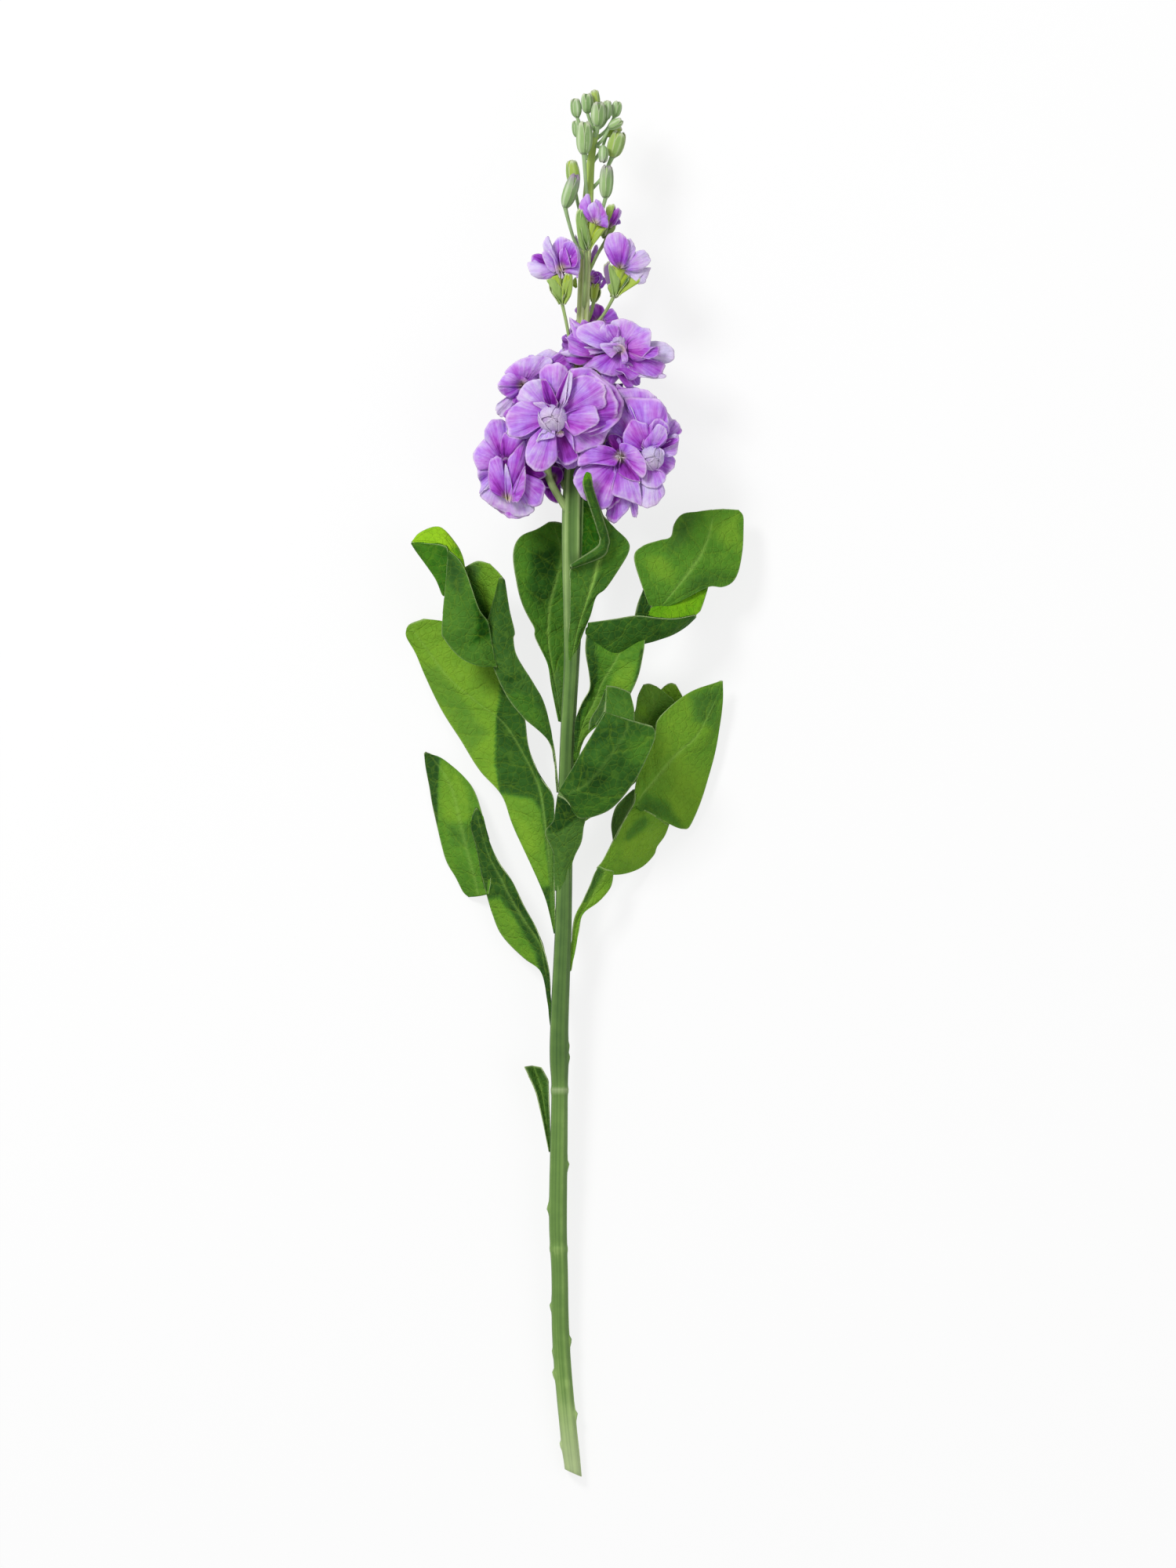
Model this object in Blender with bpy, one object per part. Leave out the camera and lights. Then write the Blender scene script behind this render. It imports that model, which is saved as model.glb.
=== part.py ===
"""A single cut stem of double stock (Matthiola incana), lying on its back on a flat surface.

The stem runs along +Y from its cut end to its buds, +Z is up and z = 0 is the surface.
The stem rests on its cut end, on the florets and on the edges of its lower leaves.
All tables are in millimetres; MM turns them into metres.
"""

import math

import bmesh
import bpy
from mathutils import Vector

MM = 0.001

# Driving dimensions, in millimetres
GAP = 0.3  # between pieces that grow out of each other
FLOOR_ROOM = 0.05  # between a leaf or a petal and the surface under it
LEAF_THICKNESS = 0.9
LEAF_COLUMNS, CURLED_LEAF_COLUMNS = 6, 8  # faces across a plain leaf and across a curled one
PETAL_THICKNESS = 0.8
STEM_SIDES = 14
STEM_STEPS = 2  # cross-sections between two points of the stem's axis
STEM_RIDGES, RIDGE_DEPTH = 5, 0.03  # the depth is a share of the stem's radius
RIDGE_ROOM = 1.04  # what keeps clear of the stem stays outside its radius by this factor
CUT_SLANT = 0.45  # rise of the slanted cut end across the stem
STALK_RADIUS = 0.75
STALK_FOOT_ROOM = 0.4  # more room between a stalk's foot and the stem than GAP
STALK_SAG = 0.12  # how far a bud's stalk sags, as a share of its length
CALYX_LENGTH = 11.0
CALYX_RADIUS = 2.9
CALYX_ROOM = 0.2  # between a calyx and its petals, more than GAP
OPENING_CALYX_SHARE = 0.36  # a half-open flower's calyx radius as a share of its petals' radius
FLORET_SECTORS, FLORET_RINGS = 20, 4  # faces round and across an open floret's petals
OPENING_SECTORS, OPENING_RINGS = 14, 3
FLORET_LOBES, OPENING_LOBES = 5, 4
LOBE_DEPTH, RUFFLE_HEIGHT = 0.10, 0.09  # shares of a flower's radius
DISH_HOLE = 0.12  # radius of the flat middle of a flower's petals, as a share of their radius
PETAL_ROOM = 0.6  # between petals and the stem, more than GAP
PETAL_MIDDLE = 6.0  # how far in front of a floret's centre the middle of its petals is
LEAST_REACH, REACH_STEP = 0.3, 0.04  # how far petals may draw in where a neighbour is close
FLORET_CENTRE_RADIUS = 5.2
FLORET_CENTRE_LENGTH = 9.0
FLORET_CENTRE_LIFT = 2.2

# Colours, roughness: the finish of each kind of piece
FINISHES = {
    "stem": ((0.13, 0.22, 0.06), 0.6),
    "leaf": ((0.08, 0.22, 0.03), 0.55),
    "bud": ((0.22, 0.34, 0.12), 0.6),
    "calyx": ((0.28, 0.40, 0.10), 0.6),
    "petal": ((0.42, 0.15, 0.64), 0.7),
    "centre": ((0.60, 0.44, 0.78), 0.7),
}

# The stem's axis from the cut end to the tip: x, y, z and radius
STEM_AXIS = (
    (-0.7, -298.8, 3.75, 3.7),
    (-3.7, -270.8, 5.7, 3.75),
    (-6.1, -239.5, 7.8, 3.75),
    (-6.6, -212.3, 9.6, 3.6),
    (-7.3, -190.0, 11.1, 3.9),
    (-7.0, -160.0, 13.2, 3.8),
    (-6.6, -132.0, 15.0, 3.6),
    (-6.8, -118.5, 15.9, 4.1),
    (-6.6, -99.8, 17.2, 3.9),
    (-5.0, -61.0, 19.8, 3.6),
    (-4.4, -28.4, 22.0, 3.4),
    (-3.4, 12.8, 24.8, 3.2),
    (-1.4, 52.0, 27.4, 3.3),
    (-0.7, 76.3, 29.0, 4.1),
    (-0.7, 105.0, 31.0, 4.7),
    (-0.3, 128.0, 32.5, 4.6),
    (1.4, 160.0, 34.5, 3.7),
    (3.2, 190.0, 36.3, 2.9),
    (4.2, 220.0, 37.7, 2.6),
    (5.6, 250.0, 39.0, 2.4),
    (7.1, 270.5, 39.9, 1.7),
    (9.9, 286.0, 40.6, 1.2),
)
# Scars and nubs of lost leaves: y, angle round the stem in degrees, height
LEAF_SCARS = (
    (-164.5, 0, 0.9),
    (-183.5, 180, 1.1),
    (-201.5, 100, 0.7),
    (-226.0, 180, 0.9),
    (-241.0, 0, 1.0),
    (-255.5, 170, 1.2),
    (-273.0, 10, 1.1),
    (-286.5, 175, 0.9),
    (-118.0, 0, 0.6),
)
SCAR_LENGTH = 3.0
SCAR_SPREAD = 28.0

# Leaves: each row is one cross-section from left edge to right edge, from the base to the tip
LEAVES = {
    "leaf_upper_left": (
        ((-7.5, -3.2, 25.5), (-7.3, -3.2, 25), (-7.1, -3.2, 24.8), (-7, -3.2, 25), (-6.8, -3.2, 25.5)),
        ((-10.9, 17.5, 29.5), (-10.4, 17.5, 29), (-9.9, 17.5, 28.7), (-9.5, 17.5, 29), (-9.2, 17.9, 29.5)),
        ((-22.1, 29.1, 31), (-19.4, 31.1, 31), (-16.7, 33.5, 31), (-14.6, 35.5, 30), (-13.3, 34.5, 28)),
        ((-31.6, 44, 32), (-28.2, 44.7, 33.5), (-24.8, 46.1, 34), (-22.1, 47.4, 33), (-19.4, 48.1, 31)),
        ((-33.7, 51.5, 36), (-41.1, 50.5, 36), (-31.6, 53.2, 30), (-28.9, 54.9, 33), (-23.5, 53.9, 31)),
        ((-37.1, 62.4, 38), (-53, 58.3, 36), (-36.4, 63.4, 25), (-34.3, 61, 31), (-26.2, 61.7, 29)),
        ((-40.1, 73.6, 40), (-57.5, 69.2, 35), (-41.1, 72.6, 23), (-36, 70.2, 32), (-26.9, 71.9, 29)),
        ((-43.2, 84.8, 41), (-56.4, 81.4, 34), (-45.2, 81.4, 22), (-34.3, 80.4, 33), (-28.9, 84.8, 31)),
        ((-47.9, 93.3, 40), (-56.8, 88.2, 33), (-49.3, 89.6, 22), (-39.1, 90.6, 29), (-35, 95.4, 32)),
        ((-54.1, 100.8, 38), (-61.2, 91.3, 31), (-55.4, 97.1, 22), (-47.9, 96.4, 24), (-43.2, 97.1, 30)),
        ((-61.5, 104.9, 36), (-66.3, 98.1, 29), (-61.5, 102.5, 24), (-54.7, 105.2, 24), (-50.3, 105.9, 29)),
        ((-67.7, 104.9, 33), (-69.4, 101.8, 29), (-66.3, 104.9, 26), (-62.9, 108, 26), (-59.5, 111.4, 29)),
        ((-70.7, 104.9, 30), (-71.1, 104.2, 29), (-71.1, 105.2, 28), (-70.7, 106.3, 28), (-70, 107.3, 29)),
    ),
    "leaf_large_left": (
        ((-10.5, -62.1, 19.5), (-9.5, -62.1, 19.5), (-8.5, -61.4, 19.5)),
        ((-13.6, -46.8, 20), (-10.5, -45.1, 21), (-8.8, -43.7, 22)),
        ((-19.7, -33.5, 19), (-11.9, -28.4, 22), (-9.2, -28.4, 24)),
        ((-26.9, -18.5, 17), (-13.3, -12.1, 22), (-8.5, -13.8, 25)),
        ((-31.6, -4.6, 14), (-16, 2.2, 20), (-9.9, -0.5, 24)),
        ((-42.5, 8, 10), (-22.8, 16.8, 17), (-17.3, 9, 22)),
        ((-50, 19.9, 6.5), (-31.3, 27.7, 14), (-20.7, 22.6, 20)),
        ((-58.8, 34.5, 3.5), (-43.5, 36.9, 10), (-27.5, 36.6, 17)),
        ((-64.6, 47.4, 1.8), (-55.4, 47.4, 6.5), (-31.6, 52.2, 14)),
        ((-68, 56.3, 0.8), (-63.6, 58.3, 3.5), (-45.2, 66.5, 9)),
        ((-72.4, 64.4, 0.8), (-69.7, 66.5, 2), (-59.5, 71.2, 5)),
        ((-73.4, 68.2, 1.2), (-72.4, 69.9, 1.6), (-69, 72.2, 2.5)),
    ),
    "leaf_lower_left": (
        ((-11.6, -101.5, 16.5), (-10.5, -101.5, 17), (-9.9, -100.8, 17)),
        ((-12.2, -90.6, 16.5), (-11.4, -89.9, 17.5), (-10.5, -89.2, 18)),
        ((-14.6, -80.4, 15), (-12.2, -79.7, 17.5), (-11.2, -79.7, 19)),
        ((-22.1, -74.3, 11), (-14.6, -69.2, 17), (-13.3, -70.9, 20)),
        ((-31.3, -64.1, 7.5), (-19.7, -58.3, 16), (-17.3, -60.7, 19)),
        ((-36, -53.2, 5), (-26.5, -45.4, 14.5), (-23.1, -47.8, 18)),
        ((-45.2, -48.5, 2), (-33, -37.6, 12.5), (-28.2, -39.6, 17)),
        ((-52, -38.6, 0.9), (-39.1, -28.4, 10.5), (-33.7, -31.5, 16)),
        ((-57.8, -26, 0.7), (-45.9, -16.5, 8.5), (-38.8, -19.9, 14)),
        ((-61.9, -13.1, 0.7), (-52, -4.6, 6.5), (-43.9, -4.2, 11)),
        ((-63.9, -1.2, 0.8), (-58.1, 5.6, 4.5), (-52, 6, 7)),
        ((-65.3, 12.1, 1), (-63.9, 13.4, 1.8), (-61.5, 13.4, 2.5)),
    ),
    "leaf_behind_stem": (
        ((-7.8, 29.4, 20.5), (-6.8, 29.4, 20), (-5.4, 29.4, 19.5)),
        ((-10.5, 40.6, 20), (-7.1, 41.3, 19), (-3.7, 40.6, 18)),
        ((-12.2, 53.2, 19), (-7.5, 53.2, 17.5), (-1.7, 51.5, 15.5)),
        ((-16.3, 65.8, 18.5), (-9.5, 64.4, 16), (1, 63.4, 14)),
        ((-22.4, 78, 18), (-11.2, 77, 14), (1, 77, 13)),
        ((-25.8, 90.6, 18), (-11.2, 88.9, 12.5), (-0.3, 88.9, 13)),
        ((-26.2, 102.5, 17.5), (-9.9, 100.8, 12.5), (1.7, 99.8, 13.5)),
        ((-18, 111, 16.5), (-8.5, 108.6, 14), (-1, 108, 15)),
        ((-11.2, 114.1, 16), (-8.5, 114.4, 15.5), (-5.1, 113.7, 16)),
    ),
    "leaf_under_bloom": (
        ((-3.1, 52.9, 31.2), (-1.7, 52.9, 31.3), (-0.3, 53.6, 31.2)),
        ((-2, 60.4, 31.8), (0.7, 61, 31.8), (3.4, 62.4, 31.5)),
        ((-0.7, 70.2, 34), (3.4, 70.6, 33.5), (6.8, 71.9, 33)),
        ((-0.7, 79.4, 36), (6.1, 80.8, 35), (10.5, 82.1, 33.5)),
        ((-0.7, 88.9, 38), (8.5, 89.6, 36.5), (18, 90.6, 34)),
        ((0.3, 97.4, 39.5), (10.2, 98.4, 38), (23.5, 102.5, 35)),
        ((3.1, 105.9, 42), (11.2, 107.6, 40.5), (18, 109.3, 38)),
        ((4.1, 115.4, 46), (8.2, 116.1, 45), (12.9, 116.8, 43)),
        ((4.1, 124.3, 50), (6.5, 125, 49.5), (9.2, 125, 48.5)),
        ((3.7, 131.8, 53), (5.4, 132.4, 52.7), (7.5, 132.4, 52)),
        ((4.8, 134.8, 54), (5.8, 135.2, 53.9), (6.5, 134.8, 53.6)),
    ),
    "leaf_upper_right": (
        ((-1, 6, 24.5), (0, 6, 24.5), (1, 6, 24.5)),
        ((0, 17.5, 27.5), (2.7, 21.6, 27), (6.5, 20.9, 27.5)),
        ((2, 31.8, 31.5), (7.8, 36.2, 29.5), (19.4, 32.8, 31)),
        ((6.1, 44, 34.5), (12.9, 47.4, 32), (25.5, 41.3, 34)),
        ((5.1, 55.6, 37), (18, 56.3, 34), (29.2, 53.6, 37)),
        ((5.8, 64.4, 36), (23.5, 64.4, 33.5), (30.9, 62.4, 34)),
        ((22.8, 71.9, 36), (30.9, 73.3, 32.5), (39.8, 73.3, 30)),
        ((27.2, 80.1, 35), (40.1, 81.4, 30.5), (54.1, 81.4, 26)),
        ((29.6, 86.2, 34), (47.6, 88.9, 28), (60.9, 85.5, 22)),
        ((25.8, 98.4, 33), (53.7, 97.8, 25), (71.4, 93.3, 19)),
        ((35, 105.9, 30), (57.1, 105.9, 22), (73.4, 105.9, 16)),
        ((43.2, 113.4, 26), (59.8, 113.4, 18.5), (73.4, 114.8, 14)),
        ((55.4, 119.2, 20), (63.6, 119.5, 16), (71.1, 119.2, 13.5)),
    ),
    "leaf_lower_right": (
        ((-2, -77.7, 18.7), (-1, -77.7, 18.7), (0, -77.4, 18.7)),
        ((-0.3, -64.1, 19), (1, -63.4, 18.2), (3.1, -62.1, 18.5)),
        ((1.7, -55.3, 19.5), (4.4, -53.2, 17.5), (9.2, -51.2, 16)),
        ((7.1, -43, 20.5), (9.9, -40.3, 17), (16.7, -41, 13)),
        ((12.2, -32.5, 21.5), (13.6, -30.8, 17), (22.8, -38.9, 7)),
        ((16, -20.6, 22), (18.7, -20.6, 17), (35, -30.1, 2)),
        ((21.1, -7.7, 22), (24.8, -11.1, 17), (39.8, -18.5, 0.8)),
        ((26.5, 0.5, 21.5), (31.6, -2.6, 16.5), (47.3, -18.5, 1.5)),
        ((28.9, 9, 20.5), (39.1, 6, 15.5), (54.4, -9, 3)),
        ((34, 22.6, 19), (47.6, 14.5, 13.5), (59.5, 5.6, 4)),
        ((43.9, 34.5, 16), (54.4, 22.3, 11.5), (62.9, 22.6, 5)),
        ((56.1, 41.7, 12.5), (59.8, 32.8, 9.5), (63.9, 36.9, 6)),
        ((62.2, 44.4, 9.5), (62.9, 44.7, 9), (63.6, 45.4, 8.5)),
    ),
    "leaf_front": (
        ((-8.5, -45.7, 25), (-5.4, -45.7, 26), (-2, -45.4, 25)),
        ((-10.2, -32.8, 25.5), (-5.1, -31.8, 27.5), (0.3, -31.8, 25.5)),
        ((-11.9, -21.2, 27), (-4.1, -19.9, 29.5), (4.4, -16.5, 27.5)),
        ((-9.5, -9.7, 32), (-2, -9.7, 33), (4.1, -14.5, 31)),
        ((-3.1, 3.9, 40), (4.1, -0.5, 40), (14.3, -10.7, 37)),
        ((4.1, 14.8, 45), (12.6, 8, 46), (24.8, 0.5, 43)),
        ((9.9, 25, 47), (21.1, 17.5, 49), (32.6, 13.4, 46)),
        ((16.7, 30.1, 46), (26.9, 24.3, 48), (35, 22.3, 45)),
        ((20.1, 33.5, 42), (24.8, 31.5, 42), (29.6, 28.7, 41)),
        ((14.6, 37.2, 38), (19.4, 36.9, 38), (24.8, 33.8, 37)),
        ((13.9, 42.3, 35), (18, 42.7, 35), (22.8, 40, 34)),
    ),
    "leaf_back_right": (
        ((-0.7, -15.1, 18), (0, -15.8, 17.5), (1, -17.2, 17)),
        ((6.5, 0.5, 16), (10.9, -0.9, 14.5), (17.7, -6.3, 12)),
        ((14.3, 17.5, 15), (22.1, 14.8, 12), (33.7, 9, 8)),
        ((22.8, 28.4, 15), (30.3, 27, 11), (42.5, 22.6, 6)),
        ((26.2, 36.9, 15), (35, 35.2, 10), (47.3, 34.5, 5)),
        ((28.9, 43, 14.5), (35.7, 40.6, 10), (44.2, 42.7, 5)),
    ),
    "torn_leaf_stub": (
        ((-11.6, -157.9, 9.5), (-11.1, -157.9, 9.3), (-10.5, -157.6, 9.5)),
        ((-13.9, -145.7, 10), (-12.6, -145.7, 9), (-11.2, -145, 10)),
        ((-16.3, -135.5, 10.5), (-13.9, -135.2, 8.5), (-11.2, -134.1, 10.2)),
        ((-19.4, -128, 11), (-15.6, -128.4, 8), (-11.6, -127.7, 11)),
        ((-21.8, -122.2, 11.5), (-18, -121.9, 7.5), (-14.6, -122.6, 11.5)),
    ),
}

# Open florets: centre of the petals, the way they face, petal radius and depth,
# the height and the angle on the stem where the stalk starts, and whether the centre shows
FLORETS = {
    "front": ((-8.0, 158.0, 49.0), (-0.10, 0.05, 0.99), 25.0, 8.0, (138.0, 125.0), True),
    "right": ((24.0, 148.0, 42.0), (0.80, -0.05, 0.60), 21.0, 8.0, (150.0, -10.0), True),
    "lower_right": ((15.0, 138.0, 41.5), (0.30, -0.45, 0.84), 20.0, 7.0, (126.0, 50.0), True),
    "upper_right": ((14.0, 186.0, 45.0), (0.30, 0.60, 0.74), 23.0, 7.0, (165.0, 40.0), True),
    "lower_left": ((-22.0, 138.0, 36.0), (-0.75, -0.25, 0.60), 21.0, 9.0, (128.0, 180.0), False),
    "upper_left": ((-17.0, 174.0, 36.0), (-0.75, 0.45, 0.45), 20.0, 8.0, (158.0, 190.0), False),
    "under_left": ((-12.0, 143.0, 18.0), (-0.55, -0.25, -0.80), 19.0, 14.0, (133.0, 240.0), False),
    "under_right": ((14.0, 160.0, 17.0), (0.55, 0.05, -0.83), 20.0, 13.0, (148.0, 300.0), False),
    "top_back": ((8.0, 190.0, 21.0), (0.25, 0.35, -0.90), 17.0, 12.0, (176.0, 280.0), False),
}

# Planes that a floret's petals also stay behind, where a stalk or a leaf stands in their way
MORE_LIMITS = {
    "upper_right": [((0.0, 204.0, 0.0), (0.0, 1.0, 0.0))],
}

# Half-open flowers: stalk start on the stem (height, angle), a point the stalk passes,
# calyx base, calyx top, petal radius and depth
HALF_OPEN = {
    "left": ((172.0, 120.0), (-3.0, 197.0, 43.5), (-5.4, 208.3, 46.0), (-8.5, 220.8, 49.0), 10.5, 8.5),
    "right": ((196.0, 350.0), (12.0, 203.0, 38.0), (16.7, 211.0, 42.0), (20.0, 224.0, 46.0), 9.5, 10.0),
    "front": ((206.0, 90.0), (4.7, 219.0, 45.0), (5.0, 234.4, 48.0), (8.4, 245.5, 50.5), 6.2, 6.6),
    "small_right": ((222.0, 350.0), (10.0, 230.0, 38.0), (13.3, 237.5, 38.5), (16.0, 245.3, 39.5), 4.5, 6.5),
    "behind": ((198.0, 285.0), (7.0, 204.0, 32.5), (8.2, 209.5, 30.0), (9.0, 217.0, 27.0), 8.0, 8.0),
}

# Buds: stalk start on the stem (height, angle), bud base, bud tip, bud radius
BUDS = {
    "bud_01_purple_tip": ((228.0, 120.0), (-4.1, 250.0, 46.0), (0.5, 264.0, 47.0), 2.9),
    "bud_02_right": ((236.0, 20.0), (13.4, 255.6, 44.0), (14.1, 269.0, 44.0), 2.9),
    "bud_03_back_left": ((244.0, 215.0), (0.0, 259.0, 37.5), (-1.4, 270.4, 37.5), 2.8),
    "bud_04_front": ((252.0, 95.0), (4.1, 273.0, 47.0), (4.4, 286.8, 48.0), 3.3),
    "bud_05_outer_right": ((258.0, 330.0), (16.3, 272.2, 38.5), (19.6, 282.7, 39.5), 3.1),
    "bud_06_hanging": ((277.0, 20.0), (12.4, 276.5, 44.5), (12.4, 269.6, 45.5), 2.0),
    "bud_07_upper_left": ((279.0, 170.0), (1.0, 289.2, 42.0), (0.2, 297.0, 42.5), 2.2),
    "bud_08_left": ((271.0, 190.0), (1.2, 280.7, 39.0), (0.5, 287.6, 39.0), 1.8),
    "bud_09_top_left": ((283.5, 150.0), (5.6, 291.0, 42.5), (5.3, 299.2, 43.0), 2.2),
    "bud_10_top": ((285.5, 250.0), (9.3, 292.0, 38.5), (8.6, 300.9, 38.5), 1.9),
    "bud_11_tip_front": ((281.0, 90.0), (10.0, 286.5, 46.0), (10.3, 295.0, 47.0), 2.4),
    "bud_12_tip_right": ((284.5, 10.0), (13.9, 288.3, 41.0), (14.2, 296.2, 41.2), 1.9),
    "bud_13_outer_top": ((280.0, 340.0), (17.2, 289.5, 37.3), (18.8, 296.0, 37.3), 2.1),
    "bud_14_outer_side": ((276.5, 350.0), (15.0, 284.6, 43.2), (20.4, 287.6, 44.4), 2.0),
    "bud_15_yellow": ((270.0, 330.0), (14.0, 281.5, 36.0), (19.9, 285.2, 36.4), 2.0),
}


def clear_scene():
    """Empties the scene that Blender starts with."""
    for existing in list(bpy.data.objects):
        bpy.data.objects.remove(existing, do_unlink=True)


def finish(kind):
    """The material of one kind of piece, made once."""
    material = bpy.data.materials.get(kind)
    if material is None:
        colour, roughness = FINISHES[kind]
        material = bpy.data.materials.new(kind)
        material.use_nodes = True
        shader = material.node_tree.nodes["Principled BSDF"]
        shader.inputs["Base Color"].default_value = (*colour, 1.0)
        shader.inputs["Roughness"].default_value = roughness
        shader.inputs["Metallic"].default_value = 0.0
        material.diffuse_color = (*colour, 1.0)
    return material


def smooth_point(points, position):
    """A point of the smooth curve through points; position counts the points from 0."""
    last = len(points) - 1
    i = min(int(position), last - 1)
    t = position - i
    before = points[i - 1] if i > 0 else points[i] * 2 - points[i + 1]
    after = points[i + 2] if i + 2 <= last else points[i + 1] * 2 - points[i]
    a, b = points[i], points[i + 1]
    return 0.5 * (
        2 * a
        + (b - before) * t
        + (2 * before - 5 * a + 4 * b - after) * t * t
        + (3 * a - before - 3 * b + after) * t ** 3
    )


def smooth_path(points, steps):
    """Points along the smooth curve through points, steps of them between each two."""
    vectors = [Vector(p) for p in points]
    count = (len(points) - 1) * steps
    return [smooth_point(vectors, k / steps) for k in range(count + 1)]


STEM_PATH = smooth_path(STEM_AXIS, 3)


def stem_at(y):
    """The stem's centre and radius at this height along it."""
    for low, high in zip(STEM_PATH, STEM_PATH[1:]):
        if y <= high[1]:
            break
    t = min(max((y - low[1]) / (high[1] - low[1]), 0.0), 1.2)
    here = low.lerp(high, t)
    return Vector((here[0], y, here[2])), here[3]


def from_stem(height, angle, clearance):
    """A point this far off the stem's surface, at an angle from +X towards +Z."""
    centre, radius = stem_at(height)
    turn = math.radians(angle)
    return centre + Vector((math.cos(turn), 0.0, math.sin(turn))) * (radius + clearance)


def off_the_stem(point, clearance):
    """The point, moved straight out of the stem where it comes too near."""
    if point.y > STEM_PATH[-1][1] + clearance:
        return point
    centre, radius = stem_at(point.y)
    out = point - centre
    distance = max(out.length, 1e-6)
    need = radius * RIDGE_ROOM + clearance
    return point if distance >= need else centre + out * (need / distance)


def add_object(name, mesh_data, kind):
    """Links a mesh as a named, smooth-shaded object with its finish."""
    mesh = bpy.data.meshes.new(name)
    mesh_data.normal_update()
    mesh_data.to_mesh(mesh)
    mesh_data.free()
    mesh.shade_smooth()
    mesh.materials.append(finish(kind))
    made = bpy.data.objects.new(name, mesh)
    bpy.context.scene.collection.objects.link(made)
    return made


def loft(name, rings, kind):
    """One closed body through rings of points, bridged and capped at both ends."""
    body = bmesh.new()
    edge_loops = []
    for ring in rings:
        corners = [body.verts.new(point * MM) for point in ring]
        edge_loops.append([
            body.edges.new((a, b)) for a, b in zip(corners, corners[1:] + corners[:1])
        ])
    for low, high in zip(edge_loops, edge_loops[1:]):
        bmesh.ops.bridge_loops(body, edges=low + high)
    for ends in (edge_loops[0], edge_loops[-1]):
        bmesh.ops.contextual_create(body, geom=ends)
    bmesh.ops.recalc_face_normals(body, faces=body.faces)
    return add_object(name, body, kind)


def stem_rings():
    """Cross-sections of the stem: its soft ridges, its leaf scars and its slanted cut."""
    rings = []
    stations = smooth_path(STEM_AXIS, STEM_STEPS)
    for number, station in enumerate(stations):
        ring = []
        for side in range(STEM_SIDES):
            angle = 360.0 * side / STEM_SIDES
            turn = math.radians(angle)
            radius = station[3] * (1.0 + RIDGE_DEPTH * math.cos(STEM_RIDGES * turn + 0.6))
            for height, scar_angle, rise in LEAF_SCARS:
                along = (station[1] - height) / SCAR_LENGTH
                around = ((angle - scar_angle + 180.0) % 360.0 - 180.0) / SCAR_SPREAD
                radius += rise * math.exp(-along * along - around * around)
            point = Vector((station[0], station[1], station[2]))
            point += Vector((math.cos(turn), 0.0, math.sin(turn))) * radius
            if number == 0:
                point.y -= CUT_SLANT * (point.x - station[0])
            point.z = max(point.z, 0.0)
            ring.append(point)
        rings.append(ring)
    return rings


def tapered_tube(name, centres, radii, kind):
    """A round stalk through these centres, with a radius at each, as a beveled curve."""
    curve = bpy.data.curves.new(name, "CURVE")
    curve.dimensions = "3D"
    curve.bevel_depth = MM
    curve.bevel_resolution = 2
    curve.use_fill_caps = True
    spline = curve.splines.new("POLY")
    spline.points.add(len(centres) - 1)
    for corner, centre, radius in zip(spline.points, centres, radii):
        corner.co = (*(centre * MM), 1.0)
        corner.radius = radius
    spline.use_smooth = True
    curve.materials.append(finish(kind))
    made = bpy.data.objects.new(name, curve)
    bpy.context.scene.collection.objects.link(made)
    return made


def stalk(start, way_points, tip_points):
    """Centres of a stalk: from the stem through the way points into the piece it carries."""
    height, angle = start
    foot = from_stem(height, angle, STALK_RADIUS + GAP + STALK_FOOT_ROOM)
    path = smooth_path([foot, *way_points, tip_points[0]], 2)
    clear = [off_the_stem(p, STALK_RADIUS + GAP) for p in path]
    return clear[:-1] + tip_points


def make_bud(name, start, base, tip, radius):
    """A closed bud on its own stalk, swelling from the stalk and closing to a blunt tip."""
    base, tip = Vector(base), Vector(tip)
    foot = from_stem(*start, 0.0)
    bend = foot.lerp(base, 0.55) + Vector((0.0, -STALK_SAG, 0.0)) * (base - foot).length
    swell = [base.lerp(tip, t) for t in (0.0, 0.12, 0.4, 0.75, 0.93, 1.0)]
    widths = [radius * w for w in (0.42, 0.8, 1.0, 0.78, 0.42, 0.14)]
    centres = stalk(start, [bend], swell)
    thin = [STALK_RADIUS] * (len(centres) - len(swell))
    tapered_tube(name, centres, thin + widths, "bud")


def sheet_solid(name, rows, thickness, kind, closed=False):
    """A thin closed solid: a grid of points, joined into faces and given its thickness."""
    body = bmesh.new()
    grid = [[body.verts.new(point * MM) for point in row] for row in rows]
    for low, high in zip(grid, grid[1:]):
        pairs = list(zip(low, high))
        for (a, d), (b, c) in zip(pairs, pairs[1:] + (pairs[:1] if closed else [])):
            body.faces.new((a, b, c, d))
    if closed:
        body.faces.new(list(reversed(grid[0])))
    made = add_object(name, body, kind)
    walls = made.modifiers.new("thickness", "SOLIDIFY")
    walls.thickness = thickness * MM
    walls.offset = 0.0
    return made


def make_leaf(name, sections):
    """A leaf blade lofted through its cross-sections, kept clear of the stem and the floor."""
    across = LEAF_COLUMNS if len(sections[0]) == 3 else CURLED_LEAF_COLUMNS
    half = LEAF_THICKNESS / 2
    rails = [smooth_path(rail, 2) for rail in zip(*sections)]
    rows = []
    for section in zip(*rails):
        last = len(section) - 1
        row = [smooth_point(list(section), last * k / across) for k in range(across + 1)]
        row = [off_the_stem(p, half + GAP) for p in row]
        rows.append([Vector((p.x, p.y, max(p.z, half + FLOOR_ROOM))) for p in row])
    return sheet_solid(name, rows, LEAF_THICKNESS, "leaf")


def floret_frame(axis):
    """The floret's own directions: the way it faces, and two across it."""
    axis = Vector(axis).normalized()
    across = axis.cross(Vector((0.0, 1.0, 0.0)))
    if across.length < 0.2:
        across = axis.cross(Vector((1.0, 0.0, 0.0)))
    across.normalize()
    return axis, across, axis.cross(across)


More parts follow.
